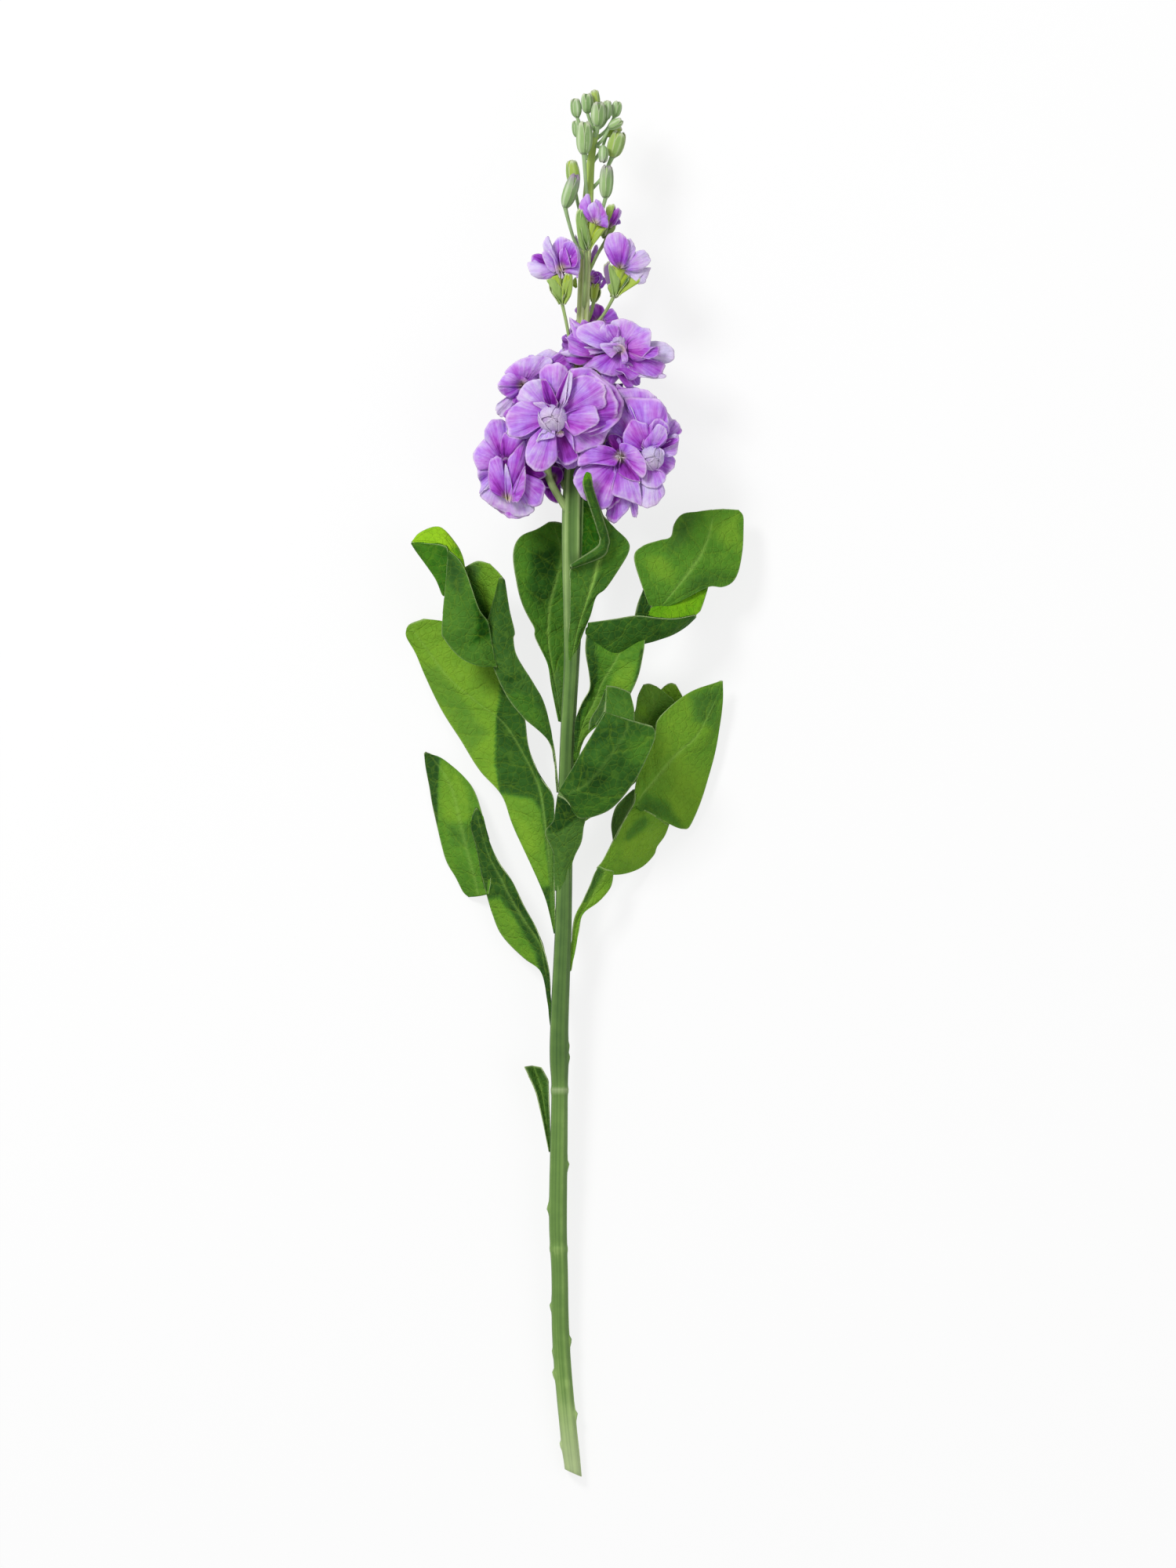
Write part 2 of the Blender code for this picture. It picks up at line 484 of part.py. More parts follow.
def petal_limits(name):
    """Planes halfway to each neighbouring floret, as a point and a direction out."""
    centre, axis, radius = FLORETS[name][:3]
    middle = Vector(centre) + floret_frame(axis)[0] * PETAL_MIDDLE
    planes = [(Vector(point), Vector(out)) for point, out in MORE_LIMITS.get(name, [])]
    for other, values in FLORETS.items():
        if other == name:
            continue
        other_middle = Vector(values[0]) + floret_frame(values[1])[0] * PETAL_MIDDLE
        out = other_middle - middle
        share = radius / (radius + values[2])
        planes.append((middle + out * share, out.normalized()))
    return planes


def petal_dish(name, centre, axis, radius, depth, lobes, planes, sectors, rings):
    """The layered petals of one flower as a ruffled, lobed dish that meets its neighbours."""
    phase = 1.3 * len(name)
    centre = Vector(centre)
    axis, across, along = floret_frame(axis)
    margin = PETAL_THICKNESS / 2 + GAP

    def place(turn, share, reach):
        lobe = 1.0 + LOBE_DEPTH * math.cos(lobes * turn + phase) * share
        ruffle = RUFFLE_HEIGHT * radius * share * share * math.sin((lobes + 2) * turn + phase)
        out = across * math.cos(turn) + along * math.sin(turn)
        rise = depth * share ** 1.3 * (0.4 + 0.6 * reach) + ruffle
        point = centre + out * (radius * reach * share * lobe) + axis * rise
        point = off_the_stem(point, margin + PETAL_ROOM)
        return Vector((point.x, point.y, max(point.z, PETAL_THICKNESS / 2 + FLOOR_ROOM)))

    def fits(point):
        return all((point - mid).dot(out) < -margin for mid, out in planes)

    rows = [[] for _ in range(rings + 1)]
    for sector in range(sectors):
        turn = math.tau * sector / sectors
        reach = 1.0
        while reach > LEAST_REACH and not fits(place(turn, 1.0, reach)):
            reach -= REACH_STEP
        for ring in range(rings + 1):
            share = DISH_HOLE + (1.0 - DISH_HOLE) * ring / rings
            rows[ring].append(place(turn, share, reach))
    return sheet_solid(name, rows, PETAL_THICKNESS, "petal", closed=True)


def make_calyx(name, start, way_points, base, top, radius):
    """A flower's stalk with the green calyx cup at its end."""
    cup = [base.lerp(top, t) for t in (0.0, 0.14, 0.5, 1.0)]
    widths = [radius * w for w in (0.4, 0.85, 1.0, 0.92)]
    centres = stalk(start, way_points, cup)
    thin = [STALK_RADIUS] * (len(centres) - len(cup))
    tapered_tube(name, centres, thin + widths, "calyx")


def make_centre(name, centre, axis):
    """The tight ball of innermost petals in a floret's middle."""
    axis = Vector(axis).normalized()
    base = Vector(centre) + axis * FLORET_CENTRE_LIFT
    steps = (0.0, 0.2, 0.5, 0.8, 1.0)
    widths = (0.3, 0.8, 1.0, 0.75, 0.25)
    centres = [base + axis * (FLORET_CENTRE_LENGTH * t) for t in steps]
    tapered_tube(name, centres, [FLORET_CENTRE_RADIUS * w for w in widths], "centre")


def make_floret(name, centre, axis, radius, depth, start, has_centre):
    """An open double floret: stalk and calyx, the dish of petals, and its centre if it shows."""
    direction = Vector(axis).normalized()
    top = Vector(centre) - direction * (PETAL_THICKNESS + GAP + CALYX_ROOM)
    base = top - direction * CALYX_LENGTH
    make_calyx(f"floret_{name}_calyx", start, [], base, top, CALYX_RADIUS)
    petals = f"floret_{name}_petals"
    limits = petal_limits(name)
    petal_dish(petals, centre, axis, radius, depth, FLORET_LOBES, limits, FLORET_SECTORS, FLORET_RINGS)
    if has_centre:
        make_centre(f"floret_{name}_centre", centre, axis)


def make_half_open(name, start, way_point, base, top, radius, depth):
    """A flower just opening: stalk and calyx, and a small cup of petals."""
    base, top = Vector(base), Vector(top)
    axis = (top - base).normalized()
    make_calyx(f"opening_{name}_calyx", start, [Vector(way_point)], base, top, radius * OPENING_CALYX_SHARE)
    centre = top + axis * (PETAL_THICKNESS + GAP + CALYX_ROOM)
    petals = f"opening_{name}_petals"
    petal_dish(petals, centre, axis, radius, depth, OPENING_LOBES, [], OPENING_SECTORS, OPENING_RINGS)


def main():
    clear_scene()
    loft("main_stem", stem_rings(), "stem")
    for name, sections in LEAVES.items():
        make_leaf(name, sections)
    for name, values in FLORETS.items():
        make_floret(name, *values)
    for name, values in HALF_OPEN.items():
        make_half_open(name, *values)
    for name, values in BUDS.items():
        make_bud(name, *values)


main()
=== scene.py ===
"""The looks of a cut stem of double stock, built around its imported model.

Every piece lies in the model's own frame: the stem runs along +Y from its cut end to its
buds, +Z is up and z = 0 is the surface it lies on. All tables are in millimetres.
"""

from __future__ import annotations

import logging
import math
from dataclasses import dataclass, field
from enum import Enum

import bpy
import numpy as np
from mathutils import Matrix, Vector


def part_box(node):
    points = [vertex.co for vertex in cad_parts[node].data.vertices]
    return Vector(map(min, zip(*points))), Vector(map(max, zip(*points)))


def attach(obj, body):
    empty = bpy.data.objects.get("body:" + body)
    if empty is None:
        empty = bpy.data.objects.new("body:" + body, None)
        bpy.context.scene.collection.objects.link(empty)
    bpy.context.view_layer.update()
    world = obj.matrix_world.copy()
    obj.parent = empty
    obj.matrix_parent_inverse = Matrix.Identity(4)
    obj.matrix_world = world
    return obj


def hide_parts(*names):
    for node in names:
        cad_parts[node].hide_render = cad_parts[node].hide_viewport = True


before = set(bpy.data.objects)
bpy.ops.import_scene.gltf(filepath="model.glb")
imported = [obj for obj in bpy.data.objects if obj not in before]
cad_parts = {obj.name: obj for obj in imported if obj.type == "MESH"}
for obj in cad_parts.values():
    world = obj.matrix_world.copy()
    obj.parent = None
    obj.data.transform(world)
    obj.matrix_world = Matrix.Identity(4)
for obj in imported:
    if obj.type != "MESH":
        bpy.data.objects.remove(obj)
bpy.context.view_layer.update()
MM = 0.001
UP = np.array((0.0, 0.0, 1.0))
FLOOR_ROOM = 0.25  # nothing of the plant comes nearer to the surface than this
PRESSED_DEPTH = 1.5  # what comes nearer to the surface than that and this is pressed flat
SEED = 7

log = logging.getLogger("stock_flower")

Row = tuple[float, ...]
Colour = tuple[float, float, float, float]
Socket = bpy.types.NodeSocket
Material = bpy.types.Material
Piece = bpy.types.Object

# Places along and across the petals of a whorl, and along the drawn ones, closer at their rims
PETAL_ROWS = (0.0, 0.06, 0.14, 0.24, 0.34, 0.44, 0.54, 0.64, 0.73, 0.81, 0.88, 0.94, 0.98, 1.0)
PETAL_COLUMNS = (-1.0, -0.95, -0.85, -0.7, -0.53, -0.35, -0.17, 0.0, 0.17, 0.35, 0.53, 0.7, 0.85, 0.95, 1.0)
DRAWN_ROWS = (0.0, 0.1, 0.22, 0.35, 0.48, 0.6, 0.7, 0.79, 0.87, 0.93, 0.975, 1.0)

# The stem's axis from the cut end to the tip: x, y, z and radius
STEM_AXIS = (
    (-0.7, -298.8, 3.75, 3.7), (-3.7, -270.8, 5.7, 3.75), (-6.1, -239.5, 7.8, 3.75),
    (-6.6, -212.3, 9.6, 3.6), (-7.3, -190.0, 11.1, 3.9), (-7.0, -160.0, 13.2, 3.8),
    (-6.6, -132.0, 15.0, 3.6), (-6.8, -118.5, 15.9, 4.1), (-6.6, -99.8, 17.2, 3.9),
    (-5.0, -61.0, 19.8, 3.6), (-4.4, -28.4, 22.0, 3.4), (-3.4, 12.8, 24.8, 3.2),
    (-1.4, 52.0, 27.4, 3.3), (-0.7, 76.3, 29.0, 4.1), (-0.7, 105.0, 31.0, 4.7),
    (-0.3, 128.0, 32.5, 4.6), (1.4, 160.0, 34.5, 3.7), (3.2, 190.0, 36.3, 2.9),
    (4.2, 220.0, 37.7, 2.6), (5.6, 250.0, 39.0, 2.4), (7.1, 270.5, 39.9, 1.7),
    (9.9, 286.0, 40.6, 1.2),
)
# Scars and nubs of lost leaves: height along the stem, angle round it in degrees, rise
LEAF_SCARS = (
    (-164.5, 0, 0.9), (-183.5, 180, 1.1), (-201.5, 100, 0.7), (-226.0, 180, 0.9),
    (-241.0, 0, 1.0), (-246.0, 184, 0.5), (-255.5, 170, 1.2), (-259.5, 70, 0.5),
    (-273.0, 10, 1.1), (-286.5, 175, 0.9), (-118.0, 0, 0.6), (-113.0, 8, 0.5),
)
# Rings round the stem where leaves joined it: height along it and rise
STEM_JOINTS = ((-132.5, 0.35), (-201.5, 0.3), (-29.0, 0.25))

# Ridges that run down the stem under stalks and leaves, and grooves between them:
# angle round it, lower and upper height, rise and breadth in degrees
STEM_RIDGES = (
    (128, 64, 160, 0.75, 9), (152, 52, 160, 0.5, 8), (63, 92, 158, 0.5, 8), (27, 86, 158, 0.8, 9),
    (104, 92, 158, -0.7, 9), (44, 96, 158, -0.5, 7), (100, -300, 60, 0.16, 9), (60, -290, 40, 0.14, 8),
    (140, -280, 50, 0.15, 9), (20, -300, 60, 0.15, 9), (95, 168, 262, 0.5, 12), (50, 172, 256, 0.45, 10),
    (140, 170, 262, 0.45, 12), (75, 176, 250, -0.35, 8), (118, 176, 250, -0.35, 8), (80, -130, 40, -0.12, 8),
)

# Open florets: centre, the way they face, reach of the petals,
# the height and the angle on the stem where the stalk starts
FLORETS = {
    "front": ((-8.0, 158.0, 49.0), (-0.10, 0.05, 0.99), 25.0, (118.0, 128.0)),
    "right": ((24.0, 148.0, 42.0), (0.80, -0.05, 0.60), 21.0, (150.0, -10.0)),
    "lower_right": ((15.0, 138.0, 41.5), (0.30, -0.45, 0.84), 20.0, (126.0, 50.0)),
    "upper_right": ((14.0, 186.0, 45.0), (0.30, 0.60, 0.74), 23.0, (165.0, 40.0)),
    "lower_left": ((-22.0, 138.0, 36.0), (-0.75, -0.25, 0.60), 21.0, (128.0, 180.0)),
    "upper_left": ((-17.0, 174.0, 36.0), (-0.75, 0.45, 0.45), 20.0, (158.0, 190.0)),
    "under_left": ((-12.0, 143.0, 18.0), (-0.55, -0.25, -0.80), 19.0, (133.0, 240.0)),
    "under_right": ((14.0, 160.0, 17.0), (0.55, 0.05, -0.83), 20.0, (148.0, 300.0)),
    "top_back": ((8.0, 190.0, 21.0), (0.25, 0.35, -0.90), 17.0, (176.0, 280.0)),
}
# Points that the longer stalks pass on their way
STALK_WAYS = {"front": (-11.6, 136.0, 37.0)}
# Balls of innermost petals: centre and radius
CENTRES = {
    "front": ((-9.5, 158.6, 57.0), 6.6),
    "right": ((33.4, 141.6, 49.8), 5.6),
    "lower_right": ((18.6, 142.0, 47.5), 2.2),
    "upper_right": ((18.9, 191.0, 51.0), 3.6),
}
# Half-open flowers: stalk start on the stem (height, angle), a point the stalk passes,
# calyx base, calyx top and petal radius
HALF_OPEN = {
    "left": ((172.0, 120.0), (-3.0, 197.0, 43.5), (-5.4, 208.3, 46.0), (-8.5, 220.8, 49.0), 10.5),
    "right": ((196.0, 350.0), (12.0, 203.0, 38.0), (16.7, 211.0, 42.0), (20.0, 224.0, 46.0), 9.5),
    "front": ((206.0, 90.0), (4.7, 219.0, 45.0), (5.0, 231.4, 48.0), (8.4, 244.5, 50.5), 6.2),
    "small_right": ((222.0, 350.0), (10.0, 230.0, 38.0), (13.3, 235.5, 38.5), (16.0, 243.3, 39.5), 4.5),
    "behind": ((198.0, 285.0), (7.0, 204.0, 32.5), (8.2, 209.5, 30.0), (9.0, 217.0, 27.0), 8.0),
}
# Buds: stalk start on the stem (height, angle), bud base, bud tip, bud radius, and how
# purple and how yellow it is
BUDS = {
    "bud_01_purple_tip": ((228.0, 120.0), (-4.1, 250.0, 46.0), (0.5, 264.0, 47.0), 2.9, 0.9, 0.0),
    "bud_02_right": ((236.0, 20.0), (13.4, 254.2, 44.0), (14.1, 268.0, 44.0), 2.8, 0.6, 0.1),
    "bud_03_back_left": ((244.0, 215.0), (0.0, 259.0, 37.5), (-1.4, 270.4, 37.5), 2.8, 0.0, 0.9),
    "bud_04_front": ((252.0, 95.0), (4.1, 273.0, 47.0), (4.4, 286.8, 48.0), 3.3, 0.1, 0.1),
    "bud_05_outer_right": ((258.0, 330.0), (16.3, 272.2, 38.5), (19.6, 282.7, 39.5), 3.4, 0.0, 0.7),
    "bud_06_hanging": ((277.0, 20.0), (12.4, 276.5, 44.5), (12.4, 269.6, 45.5), 2.0, 0.3, 0.0),
    "bud_07_upper_left": ((279.0, 170.0), (1.0, 289.2, 42.0), (0.2, 297.0, 42.5), 2.2, 0.1, 0.0),
    "bud_08_left": ((271.0, 190.0), (1.2, 280.7, 39.0), (0.5, 287.6, 39.0), 1.8, 0.0, 0.0),
    "bud_09_top_left": ((283.5, 150.0), (5.6, 291.0, 42.5), (5.3, 299.2, 43.0), 2.4, 0.0, 0.0),
    "bud_10_top": ((285.5, 250.0), (9.3, 292.0, 38.5), (8.6, 300.9, 38.5), 1.9, 0.0, 0.9),
    "bud_11_tip_front": ((281.0, 90.0), (10.0, 285.2, 46.0), (10.5, 295.4, 47.0), 3.0, 0.3, 0.1),
    "bud_12_tip_right": ((284.5, 10.0), (13.9, 288.3, 41.0), (14.2, 296.2, 41.2), 1.9, 0.0, 0.0),
    "bud_13_outer_top": ((280.0, 340.0), (17.2, 289.5, 37.3), (18.8, 296.0, 37.3), 2.1, 0.0, 0.0),
    "bud_14_outer_side": ((276.5, 350.0), (15.0, 284.6, 43.2), (20.4, 287.6, 44.4), 2.0, 0.0, 0.1),
    "bud_15_yellow": ((270.0, 330.0), (14.0, 281.5, 36.0), (19.9, 285.2, 36.4), 2.0, 0.0, 1.0),
}


@dataclass(frozen=True)
class Patch:
    """A patch of painted light or shade on a leaf's sheet: its outline from above, x, y, x, y ..."""

    sheet: int
    glow: float
    grey: float
    soft: float
    outline: Row

    def cover(self, x: np.ndarray, y: np.ndarray) -> np.ndarray:
        """Works out how much of the patch shows at each point.

        Args:
            x: The points' places across the stem.
            y: Their heights along it.

        Returns:
            The shares, from 0 outside the outline to 1 well inside it.
        """
        inside = np.zeros(x.shape, bool)
        nearest = np.full(x.shape, 1e9)
        corners = np.reshape(self.outline, (-1, 2))
        for (ax, ay), (bx, by) in zip(corners, np.roll(corners, -1, axis=0)):
            crosses = (ay > y) != (by > y)
            where = ax + (y - ay) * (bx - ax) / ((by - ay) or 1e-9)
            inside ^= crosses & (x < where)
            length = max((bx - ax) ** 2 + (by - ay) ** 2, 1e-9)
            t = as_share(((x - ax) * (bx - ax) + (y - ay) * (by - ay)) / length)
            nearest = np.minimum(nearest, np.hypot(x - ax - t * (bx - ax), y - ay - t * (by - ay)))
        depth = np.clip(np.where(inside, nearest, -nearest) / self.soft, -1.0, 1.0)
        return 0.5 + 0.25 * depth * (3.0 - depth * depth)


# Leaves: each sheet has its glow, painted light that makes it brighter where light would come through
# and darker where other sheets shade it, its greyness and midrib, and its cross-sections from base to
# tip, each from the left edge to the right edge
LEAVES = {
  "leaf_upper_left": (
  (0.23, 0.25, 0, (
   (-7.5,-3.2,25.2, -7.3,-3.2,25, -6.8,-3.2,25.2),
   (-10.5,17.5,29, -9.9,17.5,28.7, -9.2,17.9,29),
   (-22.4,29.4,31, -16.7,32.5,31.5, -12.9,34.5,30),
   (-29.6,38.9,31, -22.8,41.7,33, -17.7,44,31.5),
   (-35.4,51.5,33, -30.3,53.6,33.8, -24.8,55.6,32),
   (-37.7,59,32.5, -32,60.4,33.8, -26.5,63.1,32),
   (-38.4,68.5,31, -32.6,68.9,33, -26,66.5,31),
   (-36.4,75.3,29.5, -33,76,32.4, -28.2,76,31),
   (-32.6,89.6,29, -31.6,90.1,30.2, -30.4,88.9,29),
  )),
  (0.83, 0, 0, (
   (-37.7,68.5,24, -37.1,68.2,25, -36.4,67.8,28),
   (-41.1,74,22, -38.4,75,23.5, -35.4,76,29),
   (-44.2,80.8,22, -39.4,82.5,24, -33.7,83.1,29.5),
   (-46.6,87.6,23, -40.5,89.9,26, -31.3,89.6,29),
   (-47.9,94.4,25, -42.2,97.2,27.5, -36.7,96.1,28),
  )),
  (0.45, 0.6, 0, (
   (-54.9,101.2,37, -54.7,101.3,37, -54.4,101.5,37.5),
   (-55.4,91.6,36, -53,95,38, -50.3,97.8,39),
   (-56.1,83.8,36, -51.3,87.6,39, -46.9,92,40.5),
   (-57.5,67.2,36, -49,71.2,40, -41.5,76.7,40),
   (-56.4,63.4,36, -47.3,65.8,39.5, -37.7,70.9,36),
   (-52.4,58,36, -43.9,61,38.5, -36.4,64.4,34),
   (-47.3,53.9,36, -40.8,56.6,38, -35.4,59,34),
   (-40.5,51.5,36, -37.4,53.2,37, -34.5,54.2,34),
   (-34.3,51.2,35, -34,51.2,35, -33.7,51.2,34.5),
  )),
  (0.25, 0.2, 0, (
   (-70.8,104.9,28, -70.7,105,28.5, -70.6,105.1,29),
   (-68.7,101.5,29, -67.3,103.2,31, -65.3,104.8,32),
   (-60.6,89.9,31, -58.8,95.7,34, -57.1,103.9,36),
   (-57.5,82.8,32, -56.1,90.6,35, -54.9,101.2,37),
   (-56.3,81.8,32.5, -55.8,85.5,34, -55.4,90.6,36),
  )),
  (0.96, 0, 0, (
   (-70.7,105.2,28.5, -70.6,105.6,28, -70.4,105.9,27.5),
   (-63.9,104.4,30.5, -65.6,107.3,29, -67.3,109.3,26.5),
   (-58.1,104.2,33, -58.8,108.3,30, -60.9,112,26.5),
   (-55.1,101.5,34, -54.4,106.9,30.5, -56.4,110.5,27),
   (-49,93.7,36, -49,98.4,32.5, -50,102.2,28),
   (-47.9,92.3,36, -47.6,94,33, -47.8,95,29),
  )),
  (0.37, 0.5, 0, (
   (-34.7,51.5,34.4, -34.3,51.5,34, -34,51.9,33.6),
   (-46.6,54.2,35, -42.5,56.3,30, -36,59,31),
   (-55.8,63.4,35, -50.7,65.1,27, -38.1,67.5,26.5),
   (-56.8,67.2,35, -52,69.9,25.5, -38.8,69.9,24),
   (-56.3,75.7,35, -52,79.4,24.5, -41.8,75.3,22.4),
   (-55.6,83.5,35, -52.4,85.5,24.5, -44.5,82.1,22.4),
   (-54.6,100.1,36, -52.4,98.1,29, -48.3,93,25),
  )),
  ),
  "leaf_large_left": (
  (0.13, 0.1, 0.55, (
   (-9,-64.4,19.5, -8.7,-64.4,19.6, -8.2,-64.1,19.7),
   (-13.6,-46.8,20, -9.9,-45.1,21, -8.8,-43.7,22),
   (-26.2,-18.9,17, -12.9,-15.5,22, -8.8,-13.8,24),
   (-31.6,-4.6,14, -15.3,-1.2,20.5, -9.9,-3.6,24),
   (-41.1,6.3,10, -22.1,13.4,17.5, -15.6,4.6,22),
   (-49.6,19.6,6.5, -31.3,27.7,14, -20.1,17.5,20),
   (-58.8,34.5,3.5, -43.5,36.9,10, -22.1,31.1,18),
   (-64.9,47.4,1.8, -55.4,47.4,6.5, -28.2,47.4,15),
   (-68.7,56.3,0.8, -63.6,58.3,3.5, -38.4,63.4,10),
   (-73.1,64.4,0.8, -69.7,66.5,2, -54.7,70.6,6),
   (-73.1,68.2,1.2, -71.4,70.2,1.6, -65.6,72.4,3),
  )),
  ),
  "leaf_lower_left": (
  (0.1, 0.2, 0.6, (
   (-10.5,-104.2,17, -10.2,-104.2,17.1, -9.7,-103.9,17.2),
   (-12.2,-90.6,16.5, -11.4,-89.9,17.5, -10.5,-89.2,18),
   (-14.6,-81.1,15, -12.9,-79.7,17.5, -11.2,-79.7,19),
   (-22.1,-75,11, -15,-69.2,17, -13.3,-71.6,20),
   (-31.6,-65.1,7.5, -22.1,-58,16, -16.7,-62.1,19),
   (-35.7,-55.9,7, -28.2,-47.8,14.5, -21.8,-52.5,18),
   (-38.1,-47.9,9, -33,-38.6,14, -26.5,-43,17),
   (-40.5,-37.9,10.5, -37.1,-30.8,13.5, -32.3,-34.5,16),
   (-42.8,-26.7,11, -39.8,-21.9,13, -36.7,-25,14.5),
   (-44.7,-18.5,9.5, -41.8,-14.5,12, -39.1,-17.2,12.5),
   (-44.5,-14.1,9.5, -42.8,-10,10.5, -41.5,-11.7,11),
  )),
  (0.6, 0, 0.5, (
   (-46,-48.6,2, -41.8,-48.3,6, -37.4,-47.4,10),
   (-48.6,-46.1,1.6, -42.8,-43.7,7, -36.4,-42,11.5),
   (-51.7,-40,0.9, -44.5,-36.2,8, -36,-33.5,12.5),
   (-56.4,-31.1,0.7, -47.3,-26,7.5, -37.4,-24,12),
   (-61.2,-11.4,0.7, -52.7,-3.9,5.5, -42.5,-4.9,8),
   (-63.2,-0.5,0.8, -57.1,5.6,4.5, -48.3,3.9,6),
   (-64.9,9,1, -62.2,12.1,2.5, -57.5,11.4,3.2),
   (-65.5,13.8,1.4, -65.1,14.3,1.6, -64.6,14.1,1.8),
  )),
  ),
  "leaf_behind_stem": (
  (0.38, 0, 0.9, (
   (-7.1,27.7,24, -5.8,27.4,23.6, -4.4,27.7,23.8),
   (-9.9,41.3,21.8, -8.2,42,21, -3.7,41.3,20.6),
   (-11.9,53.2,19.8, -10.2,53.2,18.4, -1.7,51.5,17),
   (-17,63.8,18.5, -11.6,64.4,16, 1,63.4,14),
   (-17.7,68.5,18.3, -11.6,69.2,15.2, 1,68.5,13.5),
   (-22.6,78,18, -10.5,79.7,14, 1,77,13),
   (-25.5,88.9,18, -7.8,89.6,12.5, 0.3,88.9,13),
   (-26.7,100.8,17.5, -5.8,98.4,12.5, 1.7,99.8,13.5),
   (-23.6,107.8,16.8, -6.5,105.2,13.5, 1,105.9,14.5),
   (-16.7,111,16.2, -8.2,109.7,14.5, -1.7,109.3,15),
   (-11.2,114.2,16, -8.5,114.4,15.5, -5.1,113.7,16),
  )),
  ),
  "leaf_under_bloom": (
  (0.3, 0.15, 1.5, (
   (-2.6,51.5,30, -1.7,51.5,30.5, -0.9,51.9,30),
   (-2.7,63.4,32.2, 0,62.7,31.8, 2.7,63.4,30.5),
   (-2,71.9,34.5, 2.4,71.2,33.5, 6.8,73.3,33),
   (-2,79.4,35.5, 4.8,78.7,34.5, 9.2,81.4,33.5),
   (-2,87.2,36.5, 7.5,86.2,35.5, 13.6,85.5,34),
   (-1.7,93.7,37.5, 9.9,95,36.5, 19.4,94,34.5),
   (4.1,97.1,39, 11.9,100.8,38, 23.5,101.2,35),
   (9.2,100.1,40, 13.3,105.2,39, 23.1,105.9,35.5),
   (11.6,105.2,41, 14.3,109.3,40, 18,110.7,38),
   (11.2,112,42.5, 12.6,114.4,42, 14.6,114.4,41),
   (8.8,119.5,47, 10.2,121.2,46.5, 11.9,117.8,46),
   (6.1,127,52.5, 7.1,128,52.3, 8.2,126.3,52),
   (5.4,134.5,56, 6.1,134.8,56, 7.1,134.5,56),
  )),
  (0.22, 0.7, 0, (
   (3.6,132.1,56.5, 5.1,135,57.4, 7.1,134.5,56.5),
   (3.7,129.7,56, 5.4,131.4,57.8, 7.7,130.4,55.5),
   (5.1,124.6,53.5, 6.8,126.3,55.4, 8.5,127,52.5),
   (10.3,109.3,43.5, 12.2,109.3,46, 14.5,108.3,43),
   (10.9,105.9,42.5, 12.9,105.2,45, 14.5,103.2,42),
   (9,102.7,41.5, 10.5,100.5,43.8, 11.9,98.8,41),
   (-2,95.2,39.5, -1.7,94.5,40.4, -1.4,93.8,39),
  )),
  (0.08, 0, 0, (
   (4.1,131.1,55, 5.1,132.4,55.5, 6.5,132.4,55),
   (4.1,127.7,50, 5.1,125.6,50, 6.5,124.3,50),
   (3.7,117.8,36, 5.8,117.1,37, 9.2,116.1,41),
   (3.4,107.6,34, 6.5,106.6,36, 11.6,105.9,40),
   (3.1,98.4,34, 4.8,99.1,36, 7.8,100.5,38),
  )),
  ),
  "leaf_upper_right": (
  (0.49, 0, 1, (
   (-1,6,24.5, 0,6,24.5, 1,6,24.5),
   (-0.3,15.8,26.5, 1,15.8,27, 3.1,17.5,27),
   (0.3,27,29, 3.7,27,29, 8.2,24.3,29),
   (2.7,34.5,31, 8.2,35.5,29.5, 18,30.4,31),
   (6.5,42,33, 11.6,44,31, 24.1,39.3,33),
   (6.1,48.8,34, 15,49.5,32, 27.9,48.1,34.5),
   (4.6,58,36, 19,56.6,33, 29.8,58.3,36),
   (5.1,65.8,35, 21.8,64.4,32, 30.6,64.4,33),
  )),
  (0.17, 0.55, 0, (
   (5.4,68.5,35, 4.8,67.5,35.6, 4.9,65.5,36, 5.4,67.5,37.4, 5.8,70.4,38),
   (11.2,66.5,33.5, 9.5,63.8,33, 9.9,61,34, 10.2,65.8,37.4, 10.9,71.1,38.8),
   (18.7,66.5,33, 18,61,32, 17.3,57.8,33.5, 17.3,64.4,37.6, 18,72.1,39.6),
   (27.5,69.9,32, 27.5,63.8,30.5, 26.9,60.4,32, 26.9,65.8,36.6, 26.9,73.4,39.4),
   (35.7,71.9,30.5, 36,66.5,28.5, 35.7,63.1,30.5, 36,66.5,34.8, 36.7,72.4,38),
   (43.2,72.6,28, 43.9,68.5,26.8, 43.9,65.8,28.5, 43.9,68.2,32.8, 43.9,72.2,36),
   (51.3,74,24.5, 52.4,73.3,24.5, 52.7,72.9,26, 52.5,73.3,28, 52.4,73.8,29.5),
  )),
  (0.72, 0, 0, (
   (32.3,73.3,33, 32.6,75.3,33, 33,76.7,32.5),
   (38.1,71.9,34, 38.4,76,31.5, 39.1,79.4,29.8),
   (48.6,72.6,30.5, 49.6,77.7,27, 51.7,85.5,24),
   (52,73.3,28.5, 54.1,79.4,25.5, 56.8,86.9,22),
   (54.7,75.7,26.5, 56.4,80.8,24, 58.1,86.9,21),
  )),
  (0.57, 0, 0.8, (
   (33,76,32, 35.7,75.7,31, 38.8,76.7,30.5),
   (29.8,84.5,34, 40.8,81.4,31, 46.2,80.1,29),
   (25.7,98.4,33.5, 49.6,92.3,28, 57.8,85.9,24),
   (29.2,103.5,32.5, 52.4,96.4,26.5, 63.9,85.9,20.5),
   (36.4,106.1,31, 54.4,99.1,25, 68.7,88.2,17.5),
   (41.5,107.6,29, 56.1,102.9,23, 71.4,93.7,16.5),
   (43.2,113.1,27, 57.8,107.3,21, 72.9,102.5,15.5),
   (46.6,117.5,24, 59.2,112.4,19, 73.4,112,14.5),
   (53.4,118.7,20.5, 60.2,116.1,17.5, 73.1,117.1,13.5),
